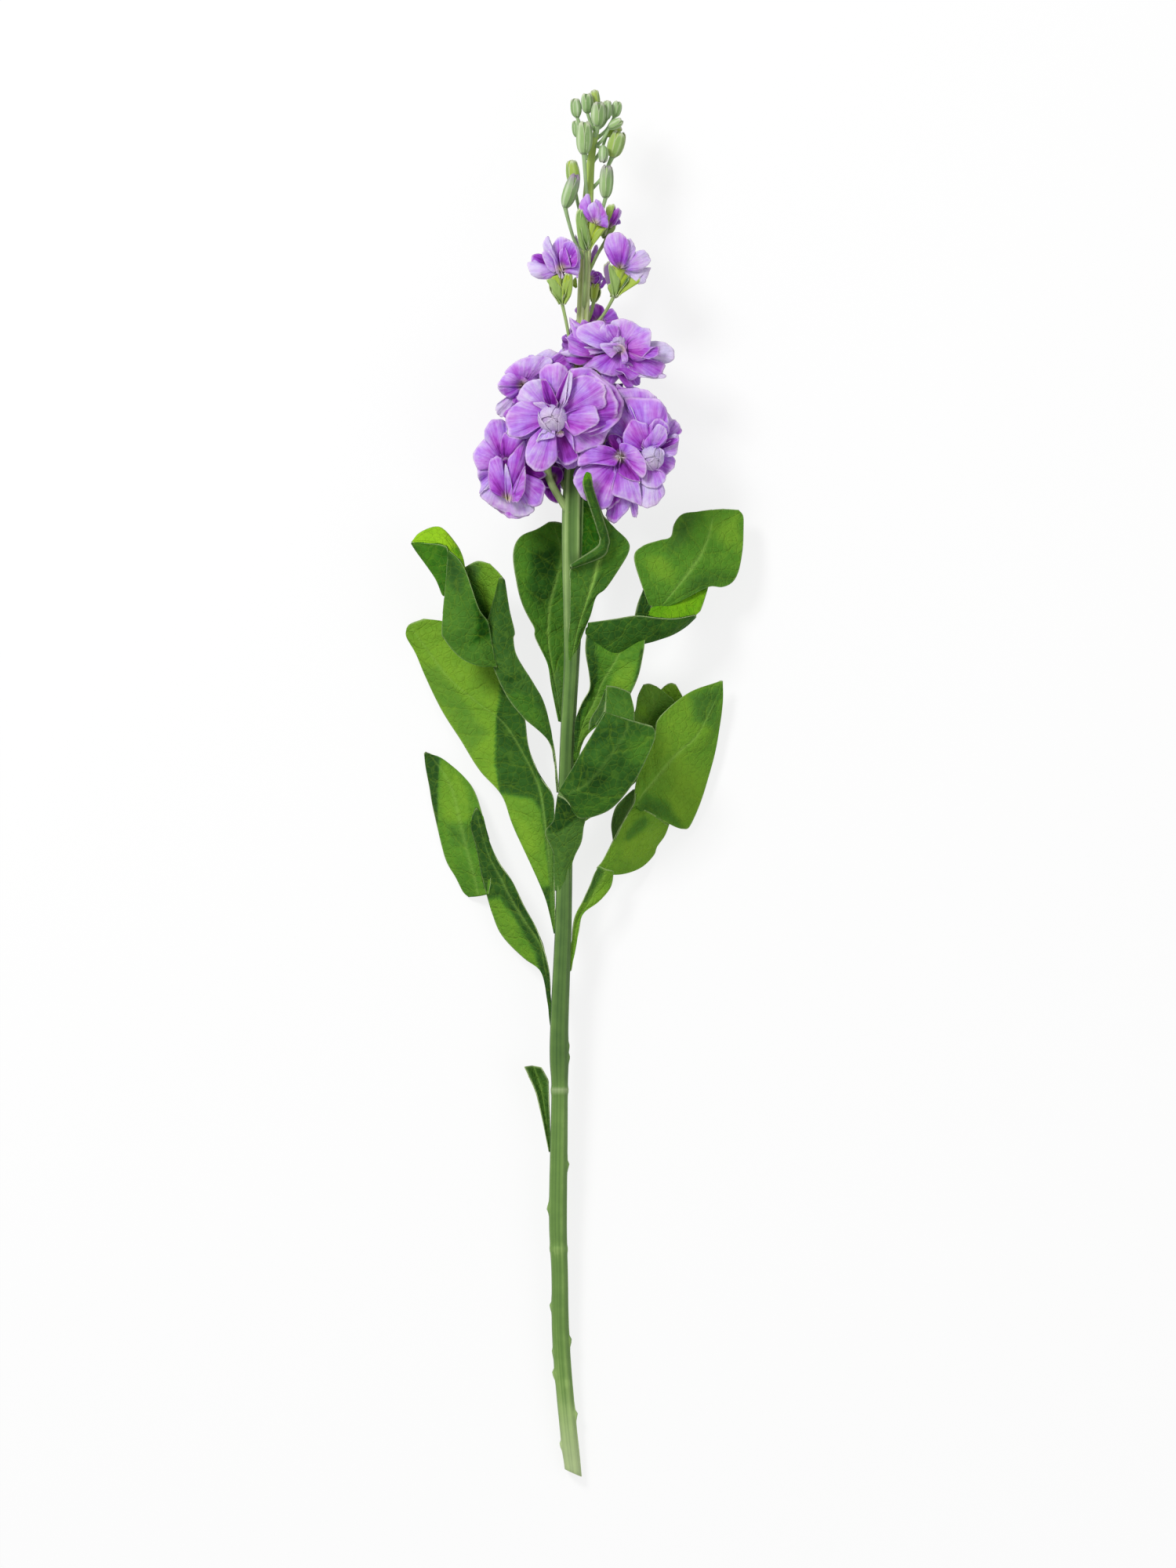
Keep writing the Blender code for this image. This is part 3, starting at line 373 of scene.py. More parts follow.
   (59.5,119.5,18, 64.6,119.9,16, 71.1,119.5,13.5),
  )),
  (-0.01, 0.3, 0, (
   (25.8,72.2,34, 29.2,72.6,33, 33,73.6,32),
   (27.4,79.1,34, 29.9,78.7,33, 33.7,76.7,32.2),
   (29.6,84.5,33.2, 29.9,83.8,33, 30.6,83.1,32.8),
  )),
  ),
  "leaf_lower_right": (
  (0.82, 0, 0.9, (
   (25.2,-10,21.5, 26.5,-9.4,20, 30.3,-13.8,17),
   (25.8,-5.6,22, 28.9,-4.9,19.5, 36.7,-14.5,12),
   (26.5,-0.2,22.5, 32,-0.9,19, 41.8,-17.2,8),
   (27.9,5.6,22, 35.4,3.2,18, 46.9,-19,5),
   (29.2,10.4,21.5, 38.8,7.3,17, 50.5,-16.8,4),
   (34.3,20.9,20.5, 45.9,15.1,15, 56.4,-1.9,5),
   (36.7,29.4,19, 53.4,21.9,12.5, 61.9,18.2,6),
   (49.3,40,14, 60.5,35.9,10, 64.3,35.2,8),
   (63.4,45.2,9.5, 63.9,45.4,9.3, 64.3,45.2,9),
  )),
  (0.84, 0, 0, (
   (9.5,-35.9,19, 10.2,-36.6,18.5, 11.2,-37.6,18),
   (11.9,-33.2,20, 14.6,-36.2,17, 17.3,-38.8,14),
   (14.6,-28.1,21, 19.4,-32.8,16, 23.8,-37.9,9),
   (17,-23.3,21.5, 23.5,-28.7,15, 29.6,-35.2,5),
   (19.4,-18.5,22, 26.9,-24,14.2, 34.3,-30.4,2.5),
   (21.8,-14.8,22, 29.9,-19.2,15.4, 35.7,-26.7,2),
   (23.8,-11.7,21, 32.3,-15.1,15.6, 39.1,-21.9,2.5),
   (25.8,-8.7,19, 33.7,-12.4,15, 41.1,-16.8,5),
  )),
  (0.6, 0.45, 0, (
   (16.8,-24.3,21, 17.2,-24.1,21.3, 17.7,-23.6,21.5),
   (16,-17.2,18, 18,-18.2,20, 21.1,-16.2,22.2),
   (17.7,-10,17, 20.1,-11.4,19.5, 24.1,-11.1,22.2),
   (21.4,-5.6,17, 23.1,-6.6,19.5, 26.2,-7.3,22.2),
   (25.5,-1.9,19, 25.8,-2.2,20, 26.5,-2.2,22),
  )),
  (0.86, 0, 0.7, (
   (-2.4,-80.8,18.7, -2,-80.8,18.7, -1.5,-80.4,18.7),
   (-1.2,-66.1,19, -0.3,-66.1,18.6, 1.4,-65.5,18.5),
   (0,-57.3,19.5, 1.7,-57.3,18.2, 3.7,-55.9,18),
   (3.4,-50.2,19.5, 5.8,-51.2,17.8, 10.9,-50.2,17),
   (6.5,-43.7,19.5, 9.5,-45.1,17.5, 15.6,-44.4,15),
   (8.8,-38.2,19.5, 12.2,-40.3,17.5, 16.7,-39.3,15),
   (10.5,-34.9,19.5, 13.3,-36.2,18, 16.7,-37.2,15.5),
  )),
  ),
  "leaf_front": (
  (0.18, 0.1, 0.25, (
   (-6.6,-2.3,38, -6.5,-2.6,38.2, -6.3,-2.9,38),
   (-5.8,-0.9,39, -3.7,-3.9,40, -2.7,-6.6,38),
   (-3.7,2.9,40.5, 0,-2.2,42.5, 1.7,-14.1,37),
   (-0.9,7.4,42, 5.1,0.5,44.5, 10.4,-12.9,38),
   (2.4,13.4,44, 10.5,6.3,46, 18,-8.3,40),
   (8.2,23.1,46, 18.7,17.2,48.5, 26.7,2.9,44),
   (11.9,29.4,46.5, 22.4,24,48, 33.5,16.8,46),
   (12.9,31.1,46, 22.8,27,47, 35,22.3,45),
   (13.6,31.3,45.5, 23.8,28.3,46, 33.5,25.5,44.5),
  )),
  (0.31, 0.15, 0, (
   (13.3,30.4,45, 19.4,29.1,46, 25.8,27,45.2),
   (13.4,36.9,42, 19.4,35.9,42, 25.7,32.8,42),
   (13.8,43,38, 18.7,42.2,38, 24,40.1,38),
  )),
  (0.16, 0.5, 0, (
   (6.1,23.6,44, 7.5,25,44.4, 9.5,26.4,45.8),
   (6.8,28.1,42, 9.5,30.1,43.5, 12.9,31.1,45.4),
   (10.4,34.2,40.2, 11.9,35.5,41, 13.6,35.5,42.2),
   (13.4,41.7,38.4, 13.6,41.7,38.4, 14.1,41.7,38.4),
  )),
  (0.48, 0.35, 0, (
   (-8.5,-45.7,22.4, -5.4,-46.4,23.9, -2,-45.4,22.4),
   (-9,-36.9,23.4, -5.4,-36.9,25.4, -1.7,-36.9,23.6),
   (-9.2,-29.1,25, -4.8,-28.1,27.6, 0,-30.8,25.4),
   (-12.8,-20.6,27.6, -4.4,-20.9,30.2, 2.9,-24.7,27.8),
   (-9.2,-15.5,30, -3.4,-14.8,33, 3.9,-18.5,30.6),
   (-8.2,-9.7,33, -2.4,-10.4,35.8, 4.6,-14.3,34),
   (-7.3,-3.9,36.6, -3.7,-6.3,38.2, 1.4,-13.4,36.8),
  )),
  ),
  "leaf_back_right": (
  (0.8, 0.2, 0.5, (
   (-1.2,-17.2,21, -0.7,-17.5,20.8, 0,-18.2,20.6),
   (1.4,-10.4,18.6, 2.7,-11.7,18, 5.4,-15.1,17),
   (6.5,0.5,16, 10.9,-0.9,14.5, 17.7,-6.3,12),
   (14.3,17.5,15, 22.1,14.8,12, 33.7,9,8),
   (22.8,26,15, 30.3,26,12, 39.8,22.6,8),
   (26.2,32.1,15, 34.3,32.8,12.5, 43.9,34.5,9),
   (27.4,38.6,15, 34,38.2,13, 39.4,40,10),
   (29.8,43.7,14.5, 32.3,44.1,13.5, 35.4,43,12),
  )),
  (0.9, 0, 0, (
   (38.4,31.8,8, 42.5,31.8,7, 46.9,32.5,6),
   (38.1,38.6,9, 42.5,38.6,8, 47.4,36.9,6.5),
   (37.7,41.7,9.5, 41.5,42.7,9, 45.2,41.7,7.5),
   (40.5,43.9,9.5, 42.2,44.4,9, 43.9,43.7,8.5),
  )),
  ),
  "torn_leaf_stub": (
  (0.3, 0.3, 0.8, (
   (-11.1,-159.3,12.9, -10.7,-159.3,12.9, -10.2,-159,13),
   (-16.3,-135.5,14, -13.9,-135.2,12, -11.1,-134.1,13.8),
   (-19.4,-128,14.4, -15.6,-128.4,11.4, -11.6,-127.7,14.2),
   (-21.8,-122.2,14.8, -18,-121.9,10.8, -14.6,-122.6,14.8),
  )),
  ),
}
# Patches of painted light and painted shade on the leaves' sheets
PATCHES = {
  "leaf_upper_left": (
  Patch(0, 0.3, 0, 2, (-29.5,38, -25,41.5, -18,38, -11,22.5, -23,30)),
  Patch(0, 0, 0, 1.5, (-31,46.5, -26,48.5, -22.5,46.5, -29.5,44)),
  Patch(1, 0.45, 0.5, 2.5, (-47.5,94.5, -42.5,97.5, -41.5,93, -43.5,88, -45,89)),
  Patch(1, 0.05, 0, 1.6, (-46.5,93, -44.5,90.5, -39,77, -36.5,73.5, -36.5,68.5, -41.5,75.5, -45.5,86)),
  Patch(2, 0.02, 0, 1.6, (-43.5,79, -36.5,69.5, -36.5,64.5, -45,61, -43,65.5, -42,70.5)),
  Patch(2, 0.15, 0.75, 2, (-55,101, -51.5,98, -47.5,92, -49.5,83, -53.5,86, -55.5,90)),
  Patch(4, 0.5, 0, 1.2, (-53.5,103, -51,102.5, -48.5,97, -47.5,94)),
  ),
  "leaf_large_left": (
  Patch(0, 0.92, 0, 0.5, (-79,68.5, -72.5,75.5, -33.5,82, -33.5,51.5, -32,44, -32.5,37, -34,29.5, -34.5,10,
   -32.5,-3.5, -45,4, -59,24.5, -77.5,48)),
  Patch(0, 0.7, 0.1, 2.5, (-67.5,51.5, -59,51.5, -37.5,22.5, -45,14, -55.5,31, -64,41.5)),
  Patch(0, 0.78, 0, 1.2, (-32.5,-3.5, -18,-6, -14.5,-11, -10,-43.5, -14.5,-44.5, -21.5,-31)),
  Patch(0, 0.92, 0, 2.5, (-29,-11.5, -22,-13, -18.5,-20, -16.5,-28.5, -19.5,-30)),
  Patch(0, 0.72, 0.35, 0.7, (-16.5,5.5, -14.5,-1, -12,-18.5, -9.5,-26.5, -8,-62.5, -10,-62.5, -10.5,-45.5,
   -14.5,-6.5)),
  ),
  "leaf_lower_left": (
  Patch(0, 0.75, 0, 1, (-38.5,-49.5, -32.5,-48.5, -27.5,-55, -17,-73, -15,-81, -21.5,-76.5, -28.5,-71,
   -35,-62)),
  Patch(1, 0.05, 0.3, 0.4, (-68.5,17, -58.5,11.5, -59.5,-2, -59.5,-18, -63,-16, -67,-2)),
  Patch(1, 0.85, 0, 2, (-58,10, -52.5,7, -46.5,-2, -44.5,-12.5, -51,-23, -56,-23, -58.5,-7)),
  Patch(1, 0.45, 0.1, 2.5, (-57,-16, -44.5,-17.5, -43,-26.5, -52.5,-26.5)),
  ),
  "leaf_behind_stem": (
  Patch(0, 0.55, 0, 2, (-26.5,101.5, -23,108.5, -19.5,109, -21,101, -20,93, -22.5,85.5, -25,90)),
  Patch(0, 0.02, 0, 2.5, (-18,101, -8,104, -8,83, -16,76.5, -20,84)),
  Patch(0, 0.45, 0, 1.5, (-14.5,113.5, -4.5,116, -1,106, -6,102.5, -12,106)),
  Patch(0, 0.5, 0.4, 1, (-10.5,48, -7,51.5, -3.5,34.5, -6,29.5, -8.5,33)),
  ),
  "leaf_under_bloom": (
  Patch(1, 0.6, 0.1, 0.8, (3,129, 3.5,134.5, 6,136, 8,134, 8,130.5, 6,132.5, 4.5,131, 4,127.5)),
  Patch(0, 0.5, 0.2, 1.2, (-2,68.5, 1.5,72, 6.5,72, 3,61.5, -1,53, -3.5,53)),
  Patch(0, 0.36, 0, 3, (14.5,106, 23,106, 21.5,98.5, 12.5,89, 10.5,92.5)),
  ),
  "leaf_upper_right": (
  Patch(0, 0.04, 0.2, 0.7, (2.5,70, 6.5,66, 9,61, 10,53, 10,46, 4,33.5, 2,26, 1.5,15, -1.5,15, -1.5,27.5,
   2.5,41.5)),
  Patch(0, 0.06, 0.2, 0.5, (28.5,59, 33,59, 30.5,45.5, 25,37, 23,38, 27,49)),
  Patch(0, 0.85, 0, 2, (19.5,54, 27,53, 25,41.5, 17.5,38, 14.5,41.5)),
  Patch(0, 0.8, 0.2, 1, (2,12.5, 0.5,16, 3,26, 10.5,39.5, 12.5,38, 4.5,16)),
  Patch(1, 0.15, 0.6, 2, (5,68.5, 19.5,71, 23,67, 12.5,59.5, 6,63.5)),
  Patch(3, 0.85, 0, 3, (30,99, 38,99, 44,93, 42.5,87, 35.5,89.5, 31,93)),
  Patch(3, 0.42, 0.2, 3, (40.5,106, 47.5,117.5, 52,116.5, 47.5,105, 40.5,100)),
  Patch(3, 0.85, 0, 3, (59,113, 71,117.5, 72.5,105, 66,102.5)),
  Patch(3, 0.4, 0.1, 3, (49.5,90.5, 63.5,93, 69.5,89.5, 47.5,81)),
  ),
  "leaf_lower_right": (
  Patch(0, 0.98, 0, 3.5, (43,3, 56.5,4.5, 54,-9.5, 49,-17, 41.5,-12.5)),
  Patch(0, 0.36, 0.1, 3, (30.5,-5, 40,-8, 46,-18.5, 37,-14, 29,-13, 26,-10)),
  Patch(0, 0.9, 0, 3.5, (32,21, 41.5,25.5, 46,19.5, 37,12, 29,9)),
  Patch(0, 0.42, 0.2, 3, (50.5,39, 64,43.5, 61,25.5, 52,28.5)),
  Patch(1, 0.5, 0.1, 1.4, (30.5,-13.5, 26.5,-15.5, 22.5,-20, 21.5,-23.5, 23.5,-24, 28.5,-20, 32,-16)),
  Patch(1, 0.98, 0, 2, (21.5,-26, 30.5,-20, 37.5,-18.5, 33.5,-27.5, 26,-33.5, 20,-32)),
  Patch(3, 0.25, 0.3, 1, (6.5,-39.5, 10,-35, 12.5,-37.5, 5,-50.5, 3,-50.5)),
  ),
  "leaf_front": (
  Patch(0, 0.42, 0, 4, (23,19.5, 32,23.5, 34.5,19.5, 29.5,9, 23,11)),
  Patch(0, 0, 0, 3, (10.5,24.5, 20.5,25.5, 19,21, 5.5,16)),
  Patch(0, 0, 0, 3.5, (0.5,11, 10.5,8.5, 15.5,1, 5.5,-1.5, -2,2.5)),
  Patch(0, 0.32, 0, 3, (1.5,-8, 10.5,-6.5, 19,-1.5, 15.5,-8.5, 6.5,-12.5, 2,-13)),
  Patch(3, 0.02, 0.1, 0.5, (-14.5,-16.5, -11,-20, -7,-20.5, 3,-13, 1.5,-9.5, -7,0.5, -11,-6.5)),
  ),
  "leaf_back_right": (
  Patch(0, 0.85, 0, 1.5, (27.5,36, 30.5,34, 32,29.5, 27.5,31)),
  ),
}

# The petals that show on each open floret, drawn from above, in groups. Each group has the
# point where its petals meet, and for each petal: height of its tip, arch along it, rise of
# its sides, tone from dark to pale (the petal's own colour and painted shade where it lies in shade),
# ruffle, and its outline as x, y, x, y ... from one side of its claw round to the other
SHOWN_PETALS = {
  "front": (
  ((-8.7, 159.1, 52), (
  (57.5, 2.2, -1, 0.6, 0.35, -14.5,156, -19.5,152, -23.5,150.5, -28,151, -29,154, -30,159, -25,165, -21,166,
   -17.5,165.5, -12.5,160.5),
  (56.8, 1.5, -0.8, 0.82, 0.3, -14,162.5, -19,164, -24.5,166.5, -24,170, -21.5,173.5, -14.5,175.5,
   -13.5,171.5, -12.5,167, -10.5,162.5),
  (57, 1.5, -1.2, 0.58, 0.4, -9.5,165, -15,175.5, -13.5,181, -9.5,182.5, -6,182, -3,179.5, -2.5,176.5,
   -4.5,172.5, -7,167.5),
  (60, 1.6, 1.6, 0.22, 0.1, -10.5,164, -13,166, -14.5,173.5, -14,175.5, -12,175, -8,167.5, -7.5,165),
  (60.6, 1.6, 1.6, 0.2, 0.1, -7,165, -8,167.5, -7,171, -3,178.5, -2,179, -2,175, -2.5,171.5, -5.5,165),
  (62, 0.8, 0.3, 1, 0.1, -4,165.5, -2.5,177, -2,179, -1,177.5, -1.5,170.5, -3.5,165),
  (58.6, 2.6, -1, 0.55, 0.35, -2.5,165, -1,175, 6,177, 10,175.5, 13,172, 13.5,168.5, 12.5,163, 0.5,161.5),
  (59.6, 1.6, 0.6, 0.58, 0.25, -3.5,160.5, -0.5,162, 8.5,164, 10.5,158.5, 9,155.5, 1,151, -1,152,
   -3.5,157),
  (56.4, 2.4, -0.6, 0.34, 1, -2,167.5, 2.5,176.5, 7,179, 14,173.5, 18,166.5, 19,162.5, 18,159, 15,156,
   7,152.5, 1.5,152),
  (54.2, 2.6, -1.4, 0.36, 1, -3,171.5, -2.5,178, -0.5,180.5, 7,180, 14.5,174, 19,170.5, 21.5,165.5,
   20.5,161, 17.5,156, 12.5,152.5, 6,150.5, 0.5,153.5),
  (53.2, 1.6, 0.8, 0.56, 0.8, -3,153.5, -0.5,150, 0.5,143.5, 7,146, 11,146.5, 13.5,149.5, 13.5,151.5,
   15.5,154, 13.5,155, 7,154.5, 1.5,156),
  (51, 1.2, 1, 0.2, 0.4, -8,153.5, -9.5,149, -8,145, -7.5,142, -4,138.5, 1.5,141, 0.5,145.5, 0,150,
   -3,153.5),
  (57.2, 2.2, -1.4, 0.6, 0.15, -12.5,154, -17,152, -20,148.5, -21.5,142, -20,138.5, -17,136, -13.5,135.5,
   -7.5,141, -9,148.5, -8.5,152.5),
  (59.4, 1, 0.4, 1, 0.1, -12.5,152, -15,152, -16,150, -16.5,148.5, -14.5,149, -9.5,150, -8.5,151.5,
   -10,152),
  (58.6, 0.8, 0.4, 1.05, 0.1, -13,162.5, -18,165, -14,165.5, -12,164.5),
  )),
  ((-6.4, 153.4, 56.6), (
  (57.3, 0.3, 0, 0.8, 0.1, -7.6,152.8, -8,151.3, -6.3,150.4, -4.7,151.2, -4.8,152.8),
  )),
  ((-3.4, 158.5, 56.8), (
  (57.5, 0.3, 0, 0.8, 0.1, -3.6,160.3, -2.6,161.2, -1.6,158.6, -2.4,156.2, -3.6,156.6),
  )),
  ),
  "upper_left": (
  ((-22.4, 173.0, 38), (
  (44.5, 3, -2.5, 0.84, 0.5, -19,175.5, -23.5,177, -27,177.5, -30,178, -29.5,179.5, -23.5,184.5, -14.5,186,
   -11,185, -9.5,183, -12.5,180, -16.5,175.5),
  (40, 2, -1, 0.96, 0.4, -14.5,182.5, -17,185.5, -11.5,188.5, -5.5,186.5, -3.5,182.5, -6,181, -10.5,181.5),
  (46, 2.6, -2, 0.84, 0.4, -20,175, -24.5,178, -29.5,178, -33,174, -32.5,172, -29.5,172, -23,173),
  (44.6, 2.4, -1.6, 0.74, 0.5, -23.5,172.5, -29.5,172.5, -32.5,173, -33,171.5, -29.5,168, -25.5,168,
   -22.5,171.5),
  (41.5, 1.6, 0.6, 0.38, 0.5, -12.5,179.5, -9.5,182.5, -8.5,186, -5.5,187.5, -2.5,186.5, 0,181.5, -2,179.5,
   -5.5,179.5, -8.5,178),
  (41, 2, -1.2, 1.07, 0.4, -25.5,168, -31,166.5, -33.5,165, -34,162.5, -33.5,160.5, -31,159.5, -28,162,
   -24.5,166.5),
  (43, 1, 0.6, 0.52, 0.3, -23.5,167.5, -26,168, -27,167, -26,165, -23,166.5),
  (39, 1.2, 0.4, 0.52, 0.3, -18,177, -19,178, -18,179.5, -16,179.5, -14.5,178, -16,175.5),
  )),
  ),
  "lower_left": (
  ((-30.2, 138.6, 39), (
  (44, 2.4, -1.2, 0.63, 0.7, -32,145.5, -36.5,147, -39,150, -38.5,154.5, -35.5,158, -32,158.5, -29.5,157,
   -29,154.5, -30,151.5, -29.5,147),
  (42.5, 2.6, -1.4, 0.75, 0.8, -32,142, -36,141, -39,139, -41.5,136, -44,143.5, -38.5,150, -34.5,150.5,
   -31.5,148.5, -30.5,144.5),
  (40.5, 2, -0.8, 0.77, 0.7, -33.5,133.5, -38,127.5, -41,126.5, -40.5,130, -41.5,132.5, -42,136.5, -41,139,
   -38,140, -34,139),
  (47.5, 2, -1, 0.41, 0.4, -30,141.5, -32,145.5, -30.5,152.5, -28,151, -23.5,150, -20,151, -22,147.5,
   -26,144, -28,140.5),
  (42, 1.2, 0.6, -0.09, 0.4, -23,139, -21,142.5, -19,139, -14,136.5, -12.5,133.5, -20.5,131, -23,133.5),
  (46, 2.6, -1.4, 0.47, 0.35, -24.5,126, -20.5,130.5, -17,132.5, -14,131.5, -12.5,128, -15,121.5,
   -18.5,120.5, -22.5,121.5),
  (43.5, 2.2, -1.4, 0.81, 0.7, -34.5,129.5, -39,127.5, -41,125.5, -39.5,124, -36.5,121, -27,116.5,
   -19,117.5, -17.5,120.5, -21,123, -23.5,126),
  (41.8, 1.8, -0.8, 0.34, 0.5, -33.5,126, -35.5,121.5, -31.5,117.5, -26.5,115.5, -19.5,117, -23.5,125),
  )),
  ((-29.2, 123.8, 45.5), (
  (46.6, 0.3, 1.2, -0.36, 0.1, -32,127, -31.5,140, -29,141.5, -25.5,139, -23.5,134, -24.5,128.5, -27,125),
  (49.5, 2.8, -3, 0.55, 0.15, -31,124.5, -35.5,126.5, -37,130.5, -37,139.5, -34.5,142, -32,141.5, -31,139,
   -30.5,125.5),
  (49, 2.4, -1.6, 0.41, 0.25, -27,128, -29,139, -26.5,144, -22.5,148.5, -21,146.5, -22,135.5, -25.5,129.5),
  (51, 1, 0.4, 0.84, 0.1, -29,122, -30,126.5, -30,139, -27.5,131.5, -27,126.5, -28,122),
  (50.6, 1.4, 0.6, 0.63, 0.15, -26,122, -25.5,127.5, -21.5,138, -21.5,128, -24.5,122),
  )),
  ),
  "under_left": (
  ((-10.1, 132.9, 28), (
  (33, 1.6, -1, 0.36, 0.4, -11.5,134, -13,131, -13,126.5, -9,122.5, -6,123, -6,127.5, -7,132),
  (36, 1, 0.6, 0.02, 0.4, -16.5,135.5, -19,134, -12.5,129, -8,129.5, -5,133.5, -6,137.5, -11.5,138.5),
  (32, 1, -0.6, 0.1, 0.4, -9,138, -10,135.5, -6,131.5, -3.5,129, -2.5,134, -3,139.5),
  )),
  ),
  "lower_right": (
  ((19.8, 142.1, 44), (
  (52.5, 2.4, -1.2, 0.56, 0.35, 18.5,139.5, 16.5,138, 8,139, 3,138, 1,139, 3,144.5, 7,146.5, 11.5,147,
   16,146, 18.5,144),
  (49.5, 2.6, -1.6, 0.55, 0.5, 17,139, 17,131.5, 17,126, 15.5,121.5, 12,119, 8.5,121, 4,124, 0.5,129,
   -0.5,133, 1.5,136.5, 5.5,138.5, 16,140),
  (54.6, 2, -1.4, 0.78, 0.2, 20,143.5, 19.5,147.5, 23,147.5, 27,145.5, 29.5,142, 31,138.5, 30.5,133.5,
   28,133.5, 23.5,140, 21,141.5),
  (51.5, 1.6, 0.8, 0.34, 0.25, 20,140.5, 19,136, 20,134, 24,132, 28.5,131.5, 24.5,139.5, 22,141.5),
  (50.4, 2.2, -1.2, 0.68, 0.35, 19,136, 17,132, 16,128, 17,125.5, 25.5,122, 29,121.5, 27.5,131.5,
   23.5,135),
  (43, 1.8, -1.2, 0.45, 0.3, 17,126, 16,119.5, 13.5,116.5, 17,113.5, 24,120.5, 23,124),
  (42, 1.4, -1, 0.6, 0.2, 23.5,125, 25,117, 26.5,116, 27.5,119, 27,123.5),
  (46, 1.4, 0.6, 0.12, 0.3, 15.5,128.5, 12,125, 13.5,119.5, 16.5,120.5, 20,124, 19,129.5),
  (48.5, 1.4, 0.8, 0.16, 0.4, 17,145.5, 14,149.5, 15.5,152, 20,151, 22,147.5, 21,144.5),
  )),
  ),
  "right": (
  ((32.5, 143.1, 42), (
  (44.5, 1.6, -0.8, 0.41, 0.5, 23.5,157.5, 20.5,165, 15.5,173, 16.5,174, 20,172.5, 24,169.5, 27.5,158.5),
  (48, 2, 0.8, 0.65, 1, 25,162.5, 22.5,166.5, 19,171, 26.5,172.5, 33,169.5, 36,166.5, 34.5,162.5, 30,160),
  (50.6, 2.6, -1.2, 0.48, 0.9, 28,154.5, 23,165, 21.5,167.5, 27,168, 35.5,167, 39,163.5, 40.5,159.5,
   40.5,155.5, 37,155.5, 32,153.5),
  (45, 2, -1, 0.65, 0.8, 35.5,153.5, 36.5,165, 39.5,162.5, 42,158.5, 44.5,157.5, 46,154.5, 45.5,152,
   38.5,150),
  (47.6, 2.4, -1, 0.49, 0.6, 27.5,147, 20,146.5, 14.5,149, 15,154, 18.5,159, 22,165.5, 25.5,164.5, 27.5,160,
   31.5,156, 31.5,152),
  (51.8, 2.2, -1.4, 0.53, 0.5, 27.5,145.5, 24.5,146, 21,148.5, 22,154, 25,158.5, 28,157, 31.5,156,
   30.5,151.5, 29,147),
  (49.2, 1.2, 0.6, 0.15, 0.3, 29.5,145.5, 27,149, 28,152.5, 31.5,154.5, 33.5,152, 32,147),
  (53.6, 2.2, -1.2, 0.77, 0.35, 31.5,146, 30,148, 33.5,153, 36,156, 39.5,154, 40,150, 37.5,147.5,
   34,146.5),
  (52.4, 1.6, -0.8, 0.51, 0.5, 33,148, 31.5,153.5, 33.5,157, 36,158.5, 39.5,157, 41,154, 39.5,150.5,
   35.5,149),
  (48.2, 2, -1, 0.87, 0.5, 36.5,145.5, 39.5,148, 41,151, 45,151.5, 44,143.5, 40,142, 37.5,143),
  (49.4, 1.2, 0.8, 0.33, 0.5, 36,146, 38.5,149, 42.5,150.5, 45,150, 44,148, 36.5,144.5),
  (46, 2, -1, 0.69, 0.5, 36.5,141.5, 40.5,143, 43.5,141, 43,137.5, 39.5,134, 37,130.5, 34.5,134),
  (49, 2.2, -1.2, 0.83, 0.35, 29.5,133, 28,129.5, 28,121.5, 31.5,120, 36,122, 39,126, 38,129.5,
   33.5,132.5),
  (50.5, 1.6, -0.6, 0.75, 0.3, 29.5,135, 28,132, 30,129.5, 34.5,128.5, 38.5,130.5, 39.5,134, 36.5,136,
   33,136),
  (51.5, 1, 0.4, 1.08, 0.1, 31,143.5, 29.5,144.5, 31.5,146, 35.5,146.5, 38.5,144.5, 38.5,142.5,
   35.5,142.5),
  )),
  ),
  "upper_right": (
  ((19.8, 188.5, 44), (
  (52.6, 2.6, -1.4, 0.72, 0.4, 16.5,188.5, 9,189, 1,194, 2.5,198.5, 10,201, 13,200, 11,197.5, 12,193.5,
   18,190),
  (46.5, 2.4, -1, 0.56, 0.4, 13.5,188.5, 5.5,189.5, 0.5,192, -1.5,197, -2.5,202.5, 0.5,198, 2.5,198.5,
   7,196, 13.5,192.5),
  (54.6, 2.4, -1.2, 0.96, 0.3, 16,184.5, 12,188.5, 11.5,191, 20,190.5, 22.5,187, 23,183.5, 20.5,183),
  (50, 1, 1.2, 0.04, 0.2, 15.5,191, 12.5,193, 10,195.5, 10,198, 13.5,199, 16.5,192.5),
  (53.6, 1.6, -1, 0.66, 0.25, 16,191.5, 14,194, 13.5,198.5, 16.5,199.5, 19,197.5, 17,191.5),
  (52.4, 2.2, -1.4, 0.86, 0.4, 18.5,194, 16,197.5, 16,200.5, 20,201.5, 24,201, 29,198, 32.5,197, 30,195,
   25,194, 21,193),
  (51, 1.2, 1, 0.36, 0.4, 19,193.5, 18.5,197, 20.5,200, 23,198, 27,197, 25.5,194, 22,192),
  (53.8, 2.4, -1.4, 0.68, 0.35, 22.5,188.5, 23,193, 26.5,195, 32.5,197, 32.5,188.5, 31,184.5, 26.5,183.5,
   23,185.5),
  (48.6, 2.4, -1.2, 1.06, 0.35, 28,187, 32,191.5, 36.5,192, 40.5,190.5, 43.5,186.5, 41.5,183, 34,182.5,
   29.5,184),
  (54.8, 1.2, 0.8, 0.4, 0.2, 29,184.5, 34,189, 37,189, 35.5,185.5, 32,184),
  (49.6, 2.2, -1.4, 0.46, 0.35, 23.5,183, 33.5,183.5, 38.5,182.5, 38.5,179, 36,176.5, 31.5,177, 26.5,178.5,
   23.5,180),
  (48.4, 0.8, 0.2, 1.01, 0.2, 23.5,180.5, 26.5,179, 36,177, 40,177, 37.5,176, 31.5,176, 26.5,177,
   23.5,179),
